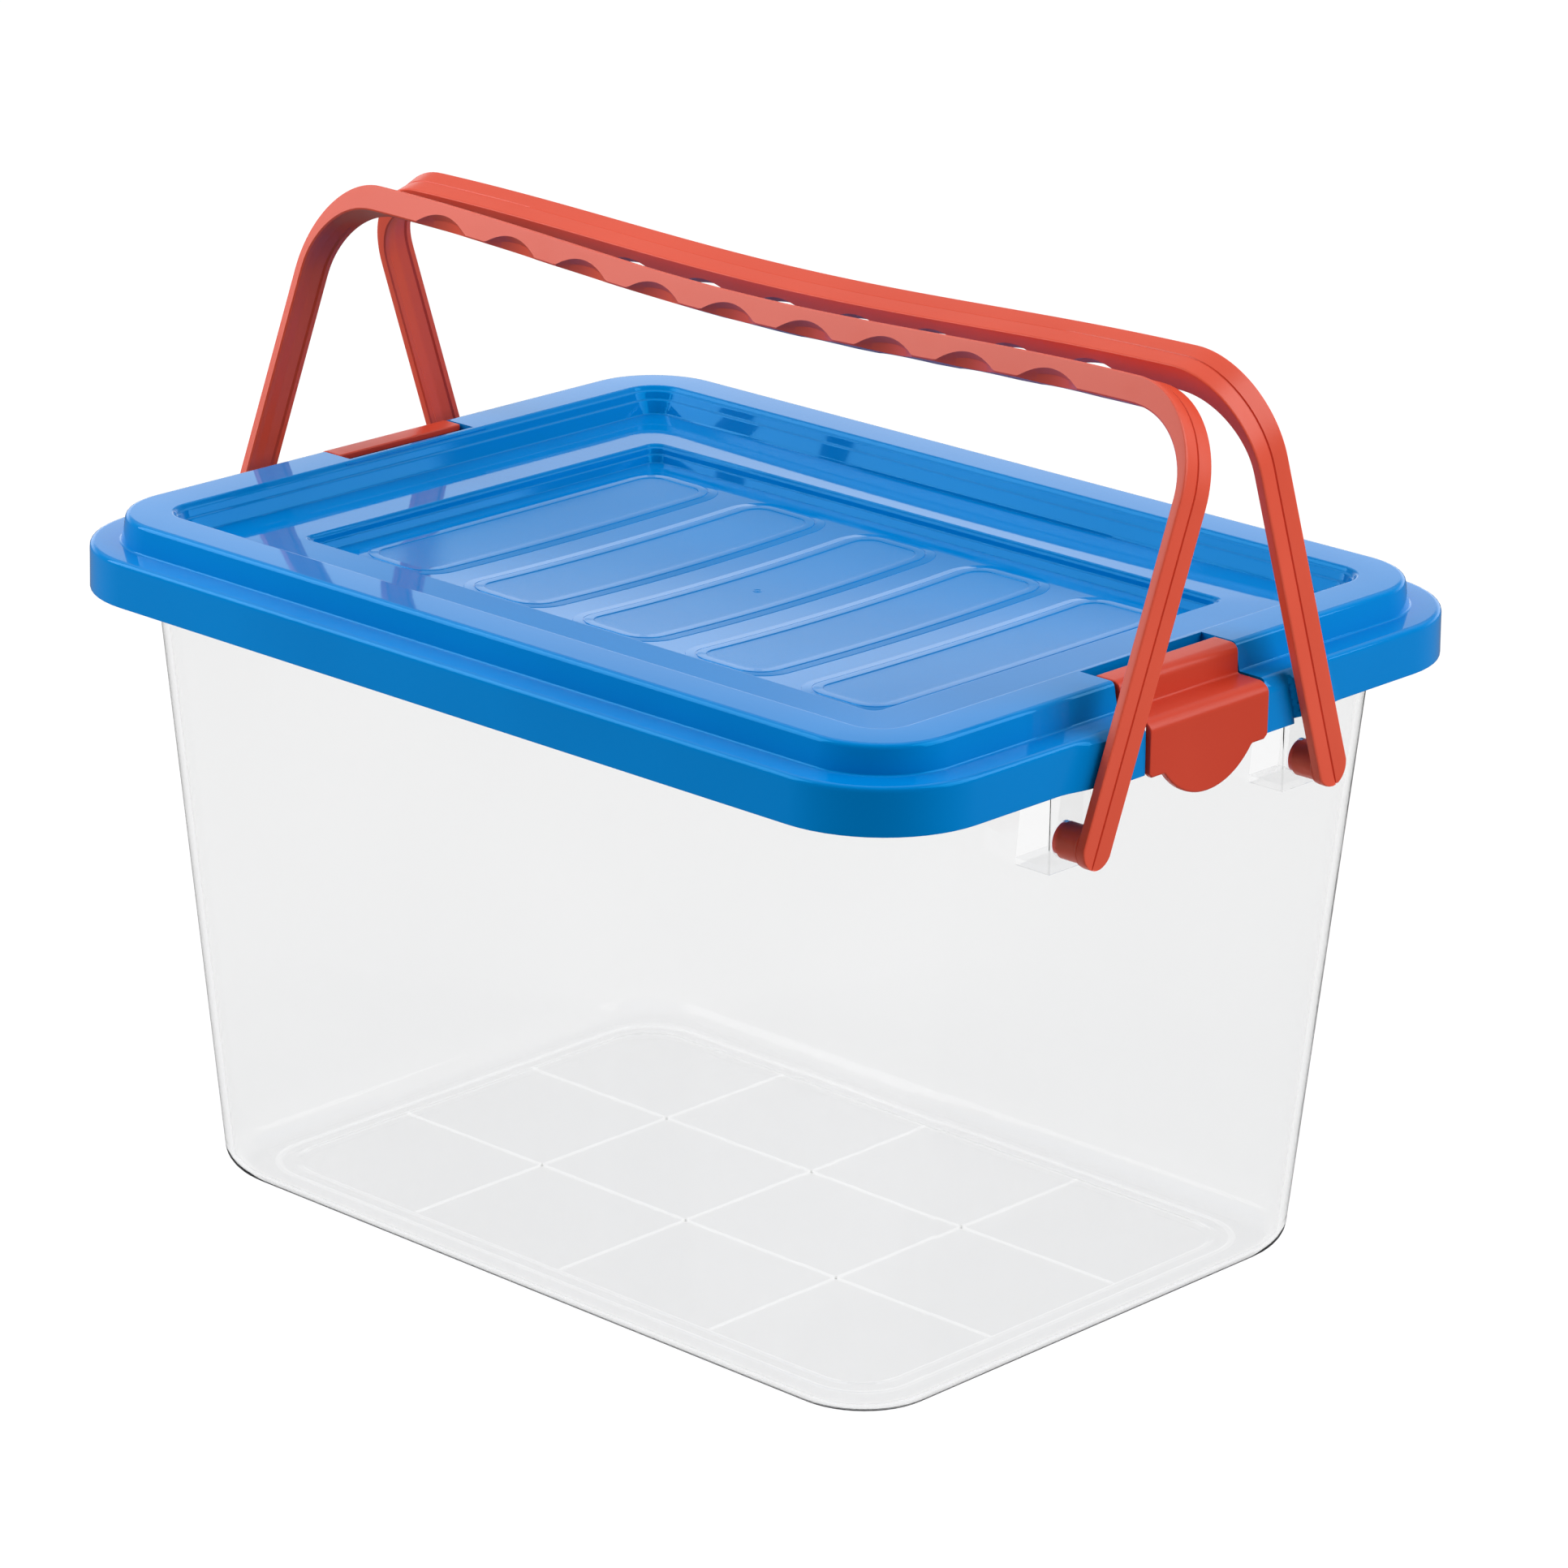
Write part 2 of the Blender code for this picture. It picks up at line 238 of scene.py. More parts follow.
def new_group(name, inputs, outputs):
    """Shader group with float inputs and named float outputs, plus a position input."""
    tree = bpy.data.node_groups.new(name, "ShaderNodeTree")
    tree.interface.new_socket("Position", in_out="INPUT", socket_type="NodeSocketVector")
    for label, value in inputs:
        sock = tree.interface.new_socket(label, in_out="INPUT", socket_type="NodeSocketFloat")
        sock.default_value = value
    for label in outputs:
        tree.interface.new_socket(label, in_out="OUTPUT", socket_type="NodeSocketFloat")
    return tree, add(tree, "NodeGroupInput", (-900, 0)), add(tree, "NodeGroupOutput", (500, 0))


def maths(tree, how, a, b=None, place=(0, 0), clamp=False):
    node = add(tree, "ShaderNodeMath", place, operation=how, use_clamp=clamp)
    for sock, value in zip(node.inputs, (a, b)):
        if value is None:
            continue
        if isinstance(value, (int, float)):
            sock.default_value = value
        else:
            tree.links.new(first_out(value), sock)
    return node.outputs[0]


def wire(tree, *pairs):
    """Link each pair of an output and an input."""
    for source, target in pairs:
        tree.links.new(first_out(source), target)


def fill(node, values):
    """Type a plain value on each named input of a node."""
    for label, value in values.items():
        node.inputs[label].default_value = value


def remap(tree, value, low, high, to_low, to_high, place, shape="LINEAR"):
    """Change a value from one range of levels to another."""
    node = add(tree, "ShaderNodeMapRange", place, interpolation_type=shape)
    fill(node, {"From Min": low, "From Max": high, "To Min": to_low, "To Max": to_high})
    tree.links.new(value, node.inputs["Value"])
    return node.outputs[0]


def new_material(name):
    """Material with its node tree and its Principled shader."""
    mat = bpy.data.materials.new(name)
    mat.use_nodes = True
    return mat, mat.node_tree, mat.node_tree.nodes["Principled BSDF"]


print("node helpers ready")

# %% Shared effects
grain, gi, go = new_group("moulding_grain", [("Size", 900.0), ("Slow Size", 14.0)], ["Height", "Drift"])
fine = add(grain, "ShaderNodeTexNoise", (-500, 150))
fine.inputs["Detail"].default_value = 3.0
slow = add(grain, "ShaderNodeTexNoise", (-500, -150))
slow.inputs["Detail"].default_value = 2.0
wire(grain, (gi.outputs["Position"], fine.inputs["Vector"]),
     (gi.outputs["Position"], slow.inputs["Vector"]), (gi.outputs["Size"], fine.inputs["Scale"]),
     (gi.outputs["Slow Size"], slow.inputs["Scale"]), (fine, go.inputs["Height"]),
     (slow, go.inputs["Drift"]))

scuff, si, so = new_group("handling_scuffs", [("Size", 60.0), ("Amount", 0.5)], ["Mask"])
streak = add(scuff, "ShaderNodeMapping", (-700, 0))
streak.inputs["Scale"].default_value = (1.0, 3.5, 1.6)
cloud = add(scuff, "ShaderNodeTexNoise", (-500, 0))
fill(cloud, {"Detail": 5.0, "Roughness": 0.65})
wire(scuff, (si.outputs["Position"], streak.inputs["Vector"]),
     (streak.outputs["Vector"], cloud.inputs["Vector"]), (si.outputs["Size"], cloud.inputs["Scale"]))
lifted = maths(scuff, "SUBTRACT", cloud, 0.52, (-300, 0), clamp=True)
scuff.links.new(maths(scuff, "MULTIPLY", lifted, si.outputs["Amount"], (-100, 0)), so.inputs["Mask"])

sink, ki, ko = new_group("rib_sink_marks", [("Half Width", 0.0004)], ["Height"])
split = add(sink, "ShaderNodeSeparateXYZ", (-700, 0), {0: ki.outputs["Position"]})
across_x = maths(sink, "ABSOLUTE", split.outputs["X"], None, (-500, 200))
across_y = maths(sink, "ABSOLUTE", split.outputs["Y"], None, (-500, -200))


def near(value, centre, row):
    """1 within the half width of a line."""
    off = maths(sink, "SUBTRACT", value, centre, (-300, row))
    apart = maths(sink, "ABSOLUTE", off, None, (-150, row))
    return maths(sink, "LESS_THAN", apart, ki.outputs["Half Width"], (0, row))


side_rows = maths(sink, "ADD", near(across_x, 0.035, 300), near(across_x, 0.105, 200), (150, 250))
on_side = maths(sink, "GREATER_THAN", across_y, 0.1232, (150, 100))
end_rows = maths(sink, "ADD", near(across_y, 0.044, -100), near(across_y, 0.087, -200), (150, -150))
on_end = maths(sink, "GREATER_THAN", across_x, 0.1708, (150, -300))
above = maths(sink, "GREATER_THAN", split.outputs["Z"], 0.2365, (150, -400))
both = maths(sink, "ADD", maths(sink, "MULTIPLY", side_rows, on_side, (300, 200)),
             maths(sink, "MULTIPLY", end_rows, on_end, (300, -200)), (400, 0))
sink.links.new(maths(sink, "MULTIPLY", both, above, (450, -100)), ko.inputs["Height"])
print("groups:", [g.name for g in bpy.data.node_groups])


def surface(tree, grain_values, scuff_values, shades, stops=(0.0, 1.0)):
    """Grain, scuffs and two close shades on Object coordinates."""
    where = add(tree, "ShaderNodeTexCoord", (-1100, 0)).outputs["Object"]
    g = add(tree, "ShaderNodeGroup", (-850, 200), node_tree=grain)
    w = add(tree, "ShaderNodeGroup", (-850, -100), node_tree=scuff)
    fill(g, grain_values)
    fill(w, scuff_values)
    ramp = add(tree, "ShaderNodeValToRGB", (-600, 250))
    for element, shade, stop in zip(ramp.color_ramp.elements, shades, stops):
        element.position = stop
        element.color = (*shade, 1.0)
    wire(tree, (where, g.inputs["Position"]), (where, w.inputs["Position"]),
         (g.outputs["Drift"], ramp.inputs[0]))
    return where, g, w, ramp.outputs[0]


def raise_bumps(tree, height, strength, depth, shader):
    """Bump node between a height and the shader."""
    node = add(tree, "ShaderNodeBump", (-250, -250))
    fill(node, {"Strength": strength, "Distance": depth})
    wire(tree, (height, node.inputs["Height"]), (node, shader.inputs["Normal"]))


print("surface helpers ready")

# %% [markdown]
# Each plastic keeps its own Principled shader. Plain numbers such as the refraction index are
# typed on the shader itself, and only colours, roughness and bump heights come through nodes.

# %% Plastics
def plastic(name, colour, drift_to, rough, rough_to, grain_size, bump, specular=0.5, scuffs=0.4,
            sinks=0.0, tint=(1.0, 1.0, 1.0)):
    """Opaque moulded plastic: two close shades, scuffed roughness and a fine grain."""
    mat, tree, shader = new_material(name)
    fill(shader, {"Metallic": 0.0, "IOR": 1.5, "Specular IOR Level": specular,
         "Specular Tint": (*tint, 1.0)})
    where, g, w, shade = surface(tree, {"Size": grain_size}, {"Amount": scuffs}, (colour, drift_to),
                                 (0.35, 0.65))
    worn = remap(tree, w.outputs["Mask"], 0.0, 0.2, rough, rough_to, (-600, -100))
    wire(tree, (shade, shader.inputs["Base Color"]), (worn, shader.inputs["Roughness"]))
    height = g.outputs["Height"]
    if sinks:
        s = add(tree, "ShaderNodeGroup", (-850, -350), {"Position": where}, node_tree=sink)
        height = maths(tree, "SUBTRACT", height,
                       maths(tree, "MULTIPLY", s.outputs["Height"], sinks, (-600, -350)), (-400, -350))
    raise_bumps(tree, height, bump, 0.00006, shader)
    return mat


gloss_blue = plastic("glossy_blue_lid", (0.000, 0.222, 0.640), (0.000, 0.236, 0.670), 0.045, 0.09,
                     500.0, 0.05, sinks=1.0, scuffs=0.3, tint=(0.0, 0.5, 1.0))
matt_blue = plastic("matt_blue_panel", (0.000, 0.222, 0.630), (0.001, 0.236, 0.660), 0.22, 0.28,
                    1500.0, 0.45, specular=0.28, tint=(0.0, 0.5, 1.0))
coral = plastic("coral_red_handle", (0.72, 0.076, 0.033), (0.76, 0.088, 0.041), 0.36, 0.46,
                1300.0, 0.30, specular=0.4)
latch_red = plastic("brick_red_latch", (0.58, 0.042, 0.014), (0.62, 0.050, 0.019), 0.34, 0.44,
                    1300.0, 0.30, specular=0.35)
print("plastics:", gloss_blue.name, matt_blue.name, coral.name, latch_red.name)

# %% Clear plastic
clear, tree, shader = new_material("clear_polypropylene")
fill(shader, {"Metallic": 0.0, "Transmission Weight": 1.0, "IOR": 1.18})
where, g, w, shade = surface(tree, {"Size": 260.0, "Slow Size": 9.0}, {"Size": 22.0},
                             ((0.892, 0.893, 0.894), (0.912, 0.913, 0.914)))
# The floor of the box takes a lighter shade than the walls, so that it shows lighter through them: painted
# light.
above_floor = add(tree, "ShaderNodeSeparateXYZ", (-850, 400), {0: where})
wall_share = remap(tree, above_floor.outputs["Z"], 0.003, 0.014, 0.0, 1.0, (-600, 450))
blend = add(tree, "ShaderNodeMix", (-300, 300), data_type="RGBA")
blend.inputs["A"].default_value = (0.912, 0.913, 0.914, 1.0)
haze = remap(tree, w.outputs["Mask"], 0.0, 0.2, 0.03, 0.06, (-600, -100))
wire(tree, (wall_share, blend.inputs["Factor"]), (shade, blend.inputs["B"]),
     (blend.outputs["Result"], shader.inputs["Base Color"]), (haze, shader.inputs["Roughness"]))
raise_bumps(tree, g.outputs["Height"], 0.08, 0.0001, shader)


def clearer(name, shade, index, cast=(1.0, 1.0, 1.0)):
    """Plainer clear plastic of one shade for the parts of the moulding that hardly bend light."""
    mat, tree, body = new_material(name)
    fill(body, {"Transmission Weight": 1.0, "Roughness": 0.08, "IOR": index})
    uneven = add(tree, "ShaderNodeTexNoise", (-700, 200))
    uneven.inputs["Scale"].default_value = 60.0
    shades = add(tree, "ShaderNodeValToRGB", (-450, 200))
    for stop, level in zip(shades.color_ramp.elements, (shade - 0.015, shade + 0.015)):
        stop.color = (*(level * c for c in cast), 1.0)
    wire(tree, (uneven, shades.inputs[0]), (shades, body.inputs["Base Color"]))
    return mat


clear_block = clearer("clear_pivot_block", 0.965, 1.03)
block_edge_painted_shade = clearer("clear_block_edge", 0.80, 1.05)
clear_bore = clearer("clear_pin_bore", 0.93, 1.10, (0.90, 0.82, 0.98))
clear_rib = clearer("clear_floor_rib", 0.985, 1.02)
clear_line = clearer("clear_edge_rib", 0.92, 1.18)
# The thin ribs are given a faint glow so that they show as pale lines: a painted highlight, not a lamp.
for mat, painted_glow in ((clear_rib, 0.055), (clear_line, 0.05)):
    shader = mat.node_tree.nodes["Principled BSDF"]
    fill(shader, {"Emission Color": (1.0, 1.0, 1.0, 1.0), "Emission Strength": painted_glow})
clears = (clear, clear_block, block_edge_painted_shade, clear_bore, clear_rib, clear_line)
print("clear plastics:", [m.name for m in clears])


def dress(obj, body, node, slot_name, *materials):
    """Give a piece its materials, its body and the CAD node it stands for; slot_name is not used."""
    if len(materials) == 1:
        obj.data.materials.clear()
    for mat in materials:
        obj.data.materials.append(mat)
    settle_normals(obj)
    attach(obj, body)
    if node:
        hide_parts(node)
    print(f"{obj.name}: {len(obj.data.polygons)} faces on {body}")


# %% [markdown]
# The box is one thin clear moulding: a floor with a rounded foot, drafted walls, and a flat
# flange that the lid sits on. It is drawn as one profile that goes up the outside, over the
# flange and down the inside, so the wall has a true thickness for the light to pass through.

# %% Box shell
BOX_X, BOX_Y, BOX_R, DRAFT = 164.3, 116.6, 28.6, 18.0 / 218.7
WALL, FLOOR, FLANGE_TOP, FLANGE_X = 2.0, 2.2, box_high[2], box_high[0]
FOOT_R = 9.0


BOX_ENDS, BOX_SIDES = [k / 6 - 1 for k in range(13)], [k / 8 - 1 for k in range(17)]


def box_loop(inset, z):
    grow = DRAFT * z - inset
    radius = max(BOX_R + 0.5 * grow, 4.0)
    return loop(BOX_X + grow, BOX_Y + grow, radius, z, BOX_ENDS, BOX_SIDES, 12)


def arc(radius, z0, extra, first, last, steps):
    """Points (inset, z) of the round between floor and wall."""
    out = []
    for k in range(steps + 1):
        t = math.radians(first + (last - first) * k / steps)
        out.append((extra + radius * (1 - math.sin(t)), z0 + radius * (1 - math.cos(t))))
    return out


outside = [(60.0, 0.25), (22.6, 0.25), (21.2, 0.0), (12.0, 0.0)] + arc(FOOT_R, 0.0, 0.0, 0, 90, 8)
outside += [(0.0, z) for z in (30.0, 70.0, 110.0, 150.0, 190.0, FLANGE_TOP - 3.4)]
rings = [box_loop(inset, z) for inset, z in outside]
FLANGE_Y, FLANGE_R = BOX_Y + FLANGE_X - BOX_X, 38.3


def flange_loop(inset, z):
    return loop(FLANGE_X - inset, FLANGE_Y - inset, FLANGE_R - inset, z, BOX_ENDS, BOX_SIDES, 12)


rings += [box_loop(-1.2, FLANGE_TOP - 2.4)]
rings += [flange_loop(inset, FLANGE_TOP - down)
          for inset, down in ((0.5, 2.4), (0.0, 1.9), (0.0, 0.5), (0.5, 0.0))]
inside = [(WALL - 0.6, FLANGE_TOP), (WALL, FLANGE_TOP - 0.6)]
inside += [(WALL, z) for z in (190.0, 150.0, 110.0, 70.0, 30.0)]
inside += arc(FOOT_R - WALL, FLOOR, WALL, 90, 0, 8)
# Two low ribs run round the edge of the floor.
RIB_STARTS, RIB_TOP = (14.5, 20.5), FLOOR + 0.35
for start in RIB_STARTS:
    inside += [(start, FLOOR), (start + 0.7, RIB_TOP), (start + 1.5, RIB_TOP), (start + 2.2, FLOOR)]
inside += [(60.0, FLOOR)]
rings += [box_loop(inset, z) for inset, z in inside]
box_shell = to_object("box_shell", [loft(rings)])
print("box shell:", len(box_shell.data.polygons), "faces")

# %% [markdown]
# Four clear blocks on the ends carry the handle pins. They are part of the same moulding and
# hollow from the inside, like every thick spot on a thin moulding, so a Boolean joins each one
# to the wall, a second one hollows it and a third one makes the hole for the pin.

# %% Pivot blocks
BLOCK_X, BLOCK_LOW, BLOCK_HALF, BLOCK_TOP = 194.4, 190.0, 9.8, FLANGE_TOP - 1.2
BLOCK_WALL, BORE_R, BLOCK_MID = 1.8, 6.35, PIVOT_Y - 0.8
for side_x in (1, -1):
    for side_y in (-1, 1):
        mid = side_y * BLOCK_MID
        wall_low, wall_top = (BOX_X + DRAFT * z - 1.0 for z in (BLOCK_LOW, BLOCK_TOP))
        profile = soften([(wall_low, BLOCK_LOW, 0), (BLOCK_X, BLOCK_LOW, 0.6), (BLOCK_X, BLOCK_TOP, 0),
                          (wall_top, BLOCK_TOP, 0)])
        rings = []
        for dy, inset in ((0.0, 0.5), (0.15, 0.15), (0.5, 0.0), (2 * BLOCK_HALF - 0.5, 0.0),
                          (2 * BLOCK_HALF - 0.15, 0.15), (2 * BLOCK_HALF, 0.5)):
            y = mid - BLOCK_HALF + dy
            rings.append([(side_x * (x - (inset if x > BLOCK_X - 1 else 0)), y,
                           z + (inset if z < BLOCK_LOW + 1 else 0)) for x, z in profile])
        cut_or_join(box_shell, to_object("block_tool", [loft(rings)]), "UNION")
        low_x, high_x = sorted((side_x * 176.0, side_x * (BLOCK_X - BLOCK_WALL)))
        half = BLOCK_HALF - BLOCK_WALL
        hollow = slab("hollow_tool", (low_x, mid - half, BLOCK_LOW + BLOCK_WALL),
                      (high_x, mid + half, FLANGE_TOP - 3.2))
        cut_or_join(box_shell, hollow, "DIFFERENCE")
        ends = sorted((side_x * (BLOCK_X - 4), side_x * (BLOCK_X + 3)))
        bore = rod(side_y * PIVOT_Y, PIVOT_Z, BORE_R, *ends, "X", 48, 0.0)
        cut_or_join(box_shell, to_object("bore_tool", [bore]), "DIFFERENCE")
# The flat faces of the blocks take a lighter shade than the walls, which is painted light, and their rounded
# edges a darker shade, which is painted shade.
# The two low ribs round the floor get the same faint painted glow as the ribs inside them.
FLAT_FACE, ROUND_EDGE, PIN_BORE, EDGE_RIB = 1, 2, 3, 4
own_finish = dict.fromkeys((FLAT_FACE, ROUND_EDGE, PIN_BORE, EDGE_RIB), 0)
for face in box_shell.data.polygons:
    x, y, z = (abs(v) * 1000 for v in face.center)
    over_x, over_y = x - (BOX_X - BOX_R), y - (BOX_Y - BOX_R)
    inset = BOX_R - (math.hypot(over_x, over_y) if min(over_x, over_y) > 0 else max(over_x, over_y))
    outside_wall = x > BOX_X + DRAFT * z + 0.15 and abs(y - BLOCK_MID) < BLOCK_HALF + 0.2
    finish = 0
    if BLOCK_LOW - 0.5 < z < FLANGE_TOP - 2.3 and outside_wall:
        finish = FLAT_FACE if max(abs(v) for v in face.normal) > 0.985 else ROUND_EDGE
        if math.hypot(y - PIVOT_Y, z - PIVOT_Z) < 6.6 and abs(face.normal.x) < 0.1:
            finish = PIN_BORE
    elif FLOOR + 0.05 < z < FLOOR + 0.6 and 14.0 < inset < 23.2:
        finish = EDGE_RIB
    if finish:
        face.material_index = finish
        own_finish[finish] += 1
dress(box_shell, "box", "box_body", "clear_body", clear, clear_block, block_edge_painted_shade, clear_bore, clear_line)
print("faces with a finish of their own:", own_finish)

# %% [markdown]
# The floor of the box has a grid of low ribs, three across and two along. A Geometry Nodes tree
# draws one bar, repeats it at an even pitch in both directions and realises the copies, so the
# number of ribs and their size stay as inputs that can be changed.

# %% Floor ribs
def group_tree(name, floats=(), ints=(), others=()):
    """Geometry Nodes tree with a geometry in and out and named number inputs."""
    made = bpy.data.node_groups.new(name, "GeometryNodeTree")
    made.interface.new_socket("Geometry", in_out="INPUT", socket_type="NodeSocketGeometry")
    for label in floats:
        made.interface.new_socket(label, in_out="INPUT", socket_type="NodeSocketFloat")
    for label in ints:
        made.interface.new_socket(label, in_out="INPUT", socket_type="NodeSocketInt")
    for label, kind in others:
        made.interface.new_socket(label, in_out="INPUT", socket_type=kind)
    made.interface.new_socket("Geometry", in_out="OUTPUT", socket_type="NodeSocketGeometry")
    return made, add(made, "NodeGroupInput", (-900, 0)), add(made, "NodeGroupOutput", (900, 0))


def run_tree(name, tree, values):
    """Run a tree on an empty mesh with its inputs set by identifier; returns a plain mesh object."""
    holder = new_object(name, bpy.data.meshes.new(name))
    mod = holder.modifiers.new(name, "NODES")
    mod.node_group = tree
    ids = {s.name: s.identifier for s in tree.interface.items_tree if s.in_out == "INPUT"}
    for label, value in values.items():
        mod[ids[label]] = value
    bake_modifiers(holder)
    smooth(holder.data)
    return holder


ribs, ri, ro = group_tree("floor_rib_grid", ("Length", "Width", "Height", "Pitch", "Base"), ("Count",),
                          (("Along X", "NodeSocketBool"), ("Finish", "NodeSocketMaterial")))
size_x = add(ribs, "ShaderNodeCombineXYZ", (-650, 200))
size_y = add(ribs, "ShaderNodeCombineXYZ", (-650, 50))
for combine, first, second in ((size_x, "Length", "Width"), (size_y, "Width", "Length")):
    wire(ribs, (ri.outputs[first], combine.inputs[0]), (ri.outputs[second], combine.inputs[1]),
         (ri.outputs["Height"], combine.inputs[2]))
pick = add(ribs, "GeometryNodeSwitch", (-450, 150), {0: ri.outputs["Along X"], 1: size_y,
           2: size_x}, input_type="VECTOR")
bar = add(ribs, "GeometryNodeMeshCube", (-250, 200), {"Size": pick})
step_x = add(ribs, "ShaderNodeCombineXYZ", (-650, -150))
step_y = add(ribs, "ShaderNodeCombineXYZ", (-650, -300), {1: ri.outputs["Pitch"]})
ribs.links.new(ri.outputs["Pitch"], step_x.inputs[0])
step = add(ribs, "GeometryNodeSwitch", (-450, -200), {0: ri.outputs["Along X"], 1: step_x,
           2: step_y}, input_type="VECTOR")
row = add(ribs, "GeometryNodeMeshLine", (-250, -100), {"Count": ri.outputs["Count"],
          "Offset": step}, mode="OFFSET")
copies = add(ribs, "GeometryNodeInstanceOnPoints", (0, 0), {"Points": row,
             "Instance": bar})
solid = add(ribs, "GeometryNodeRealizeInstances", (200, 0), {0: copies})
# The row starts at the origin, so it is moved back by half its length and up to the floor.
gaps = maths(ribs, "SUBTRACT", ri.outputs["Count"], 1.0, (-250, -350))
less = maths(ribs, "MULTIPLY", gaps, -0.5, (-100, -350))
back = add(ribs, "ShaderNodeVectorMath", (50, -250), {0: step, "Scale": less},
           operation="SCALE")
lift = add(ribs, "ShaderNodeCombineXYZ", (50, -450), {2: ri.outputs["Base"]})
total = add(ribs, "ShaderNodeVectorMath", (250, -300), {0: back, 1: lift},
            operation="ADD")
shift = add(ribs, "GeometryNodeSetPosition", (400, 0), {"Geometry": solid,
            "Offset": total})
paint = add(ribs, "GeometryNodeSetMaterial", (600, 0), {"Geometry": shift,
            "Material": ri.outputs["Finish"]})
ribs.links.new(paint.outputs[0], ro.inputs[0])

rib_rows = {"floor_ribs_across": (0.188, 3, 0.072, False), "floor_ribs_along": (0.284, 2, 0.064, True)}
for name, (length, count, pitch, along) in rib_rows.items():
    piece = run_tree(name, ribs, {"Length": length, "Width": 0.0010, "Height": 0.0006, "Pitch": pitch,
                                  "Base": (FLOOR + 0.36) * MM, "Count": count, "Along X": along,
                                  "Finish": clear_rib})
    dress(piece, "box", None, "clear_body", clear_rib)

# %% [markdown]
# The lid is one long profile as well: up the skirt, over the ledge and the raised rim, down two
# stepped walls to the floor, and back underneath. The ends of the skirt are pushed in and out
# for the cheeks beside the latch and for the channel that the leaning leg of the handle needs,
# so the points are close together there. The floor of a big flat moulding sags a little.

# %% Lid shape rules
SAG_EDGE, SAG_MIDDLE, FLOOR_X, FLOOR_Y = 229.6, 227.2, 132.4, 84.8


def floor_height(x, y):
    """Height of the lid floor, lowest in the middle."""
    fx, fy = min(abs(x) / FLOOR_X, 1.0), min(abs(y) / FLOOR_Y, 1.0)
    return SAG_EDGE - (SAG_EDGE - SAG_MIDDLE) * (1 - fx * fx) * (1 - fy * fy)


def end_relief(y, z):
    """How far the end of the skirt stands out (+) or in (-), and how far its edge drops."""
    a = abs(y)
    edge = 47.3 - 0.34 * (z - 216.0)
    on_cheek = 1.0 - smooth_step(a, edge - 0.7, edge + 0.3)
    top = 1.0 - smooth_step(z, 231.6, 233.6)
    deepest, far = 57.0 - 0.36 * (z - 216.0), 73.0 - 0.5 * (z - 216.0)
    channel = smooth_step(a, edge - 0.1, edge + 1.0) * (1.0 - smooth_step(a, deepest, far))
    fade = 1.0 - smooth_step(z, 232.8, 235.0)
    return 1.2 * on_cheek * top - 2.4 * channel * fade, -2.3 * on_cheek * (1.0 - smooth_step(z, 219.5, 223.5))


# Where the rows of points cross the ends: close together beside the latch.
straight = LID_Y - LID_R
near_rows = [31.0 + 0.9 * k for k in range(50)]
row_ys = sorted({0.0, 10.0, 20.0, 29.0, 80.0, 90.0, 100.0, straight, *near_rows})
ENDS = [y / straight for y in [-y for y in reversed(row_ys) if y] + row_ys]
SIDES = [k / 14 - 1 for k in range(29)]


def lid_loop(inset, z, radius=None):
    r = max(LID_R - inset, 4.0) if radius is None else radius
    return loop(LID_X - inset, LID_Y - inset, r, z, ENDS, SIDES, 14)


print("floor sags", round(SAG_EDGE - floor_height(0, 0), 2), "mm; points across an end:", len(ENDS))

# %% Lid profile
SHEET = 2.2
skirt = [(0.35, SKIRT_LOW), (0.08, SKIRT_LOW + 0.12), (0.0, SKIRT_LOW + 0.45)]
skirt += [(0.2 * (z - SKIRT_LOW) / 14.0, z) for z in (220.5, 222.0, 223.5, 225.5, 227.5, 229.5, 231.0)]
over = soften([(0.18, 231.0, 0), (0.2, 235.2, 2.6), (11.0, 235.2, 0.7), (13.0, 245.0, 1.7),
               (29.2, 245.0, 0.6), (30.3, 243.5, 0.5), (31.1, 243.2, 0.4), (32.0, 240.6, 0.4),
               (32.9, 240.3, 0.4), (34.8, 235.6, 0.5),
               (64.6, 235.6, 0.5), (65.2, 234.6, 0.3), (65.8, 234.4, 0.3),
               (66.2, 232.4, 0.3), (66.8, 232.2, 0.3), (67.6, SAG_EDGE, 0.3), (69.0, SAG_EDGE, 0)])
under = soften([(66.6, SAG_EDGE - SHEET, 0), (66.0, SAG_EDGE - SHEET, 0.6), (63.2, 233.4, 0.8),
                (33.6, 233.4, 0.8),
                (30.6, 238.6, 0.4), (28.4, 241.6, 0.4), (26.9, 242.8, 0.5), (15.6, 242.8, 1.0),
                (13.2, 233.0, 0.6), (2.4, 233.0, 1.2), (SHEET, 228.0, 0)], 3)
under += [(SHEET, z) for z in (225.5, 223.5, 222.0, 220.5, SKIRT_LOW + 0.45)]
under += [(2.1, SKIRT_LOW + 0.1), (1.8, SKIRT_LOW)]


def shaped(inset, z, outer):
    """One loop of the lid with the relief of the end faces and the sag applied."""
    done = []
    for x, y, h in lid_loop(inset, z, 4.5 if inset > 60 else None):
        if abs(x) > LID_X - 3.0 and abs(y) < straight and z < 235.1:
            out, drop = end_relief(y, z)
            if not outer:
                out = min(out + 1.2, 0.0)
            x, h = x + math.copysign(out, x), h + drop
        if 35 < inset < 64 and z > 235:
            # The seat bows down a little in the middle of its long sides.
            h -= 0.8 * (1 - (x / 160.0) ** 2) * smooth_step(abs(y), 84.0, 100.0)
        if inset > 67 and z < 231:
            h += floor_height(x, y) - SAG_EDGE
        done.append((x, y, h))
    return done


rings = [shaped(i, z, True) for i, z in skirt + over[1:-1]]
FLOOR_RINGS = [69.5, 75.0, 82.0, 90.0, 98.0, 106.0, 114.0, 122.0, 130.0, 138.0, 145.0, 149.5, 151.6, 152.38]


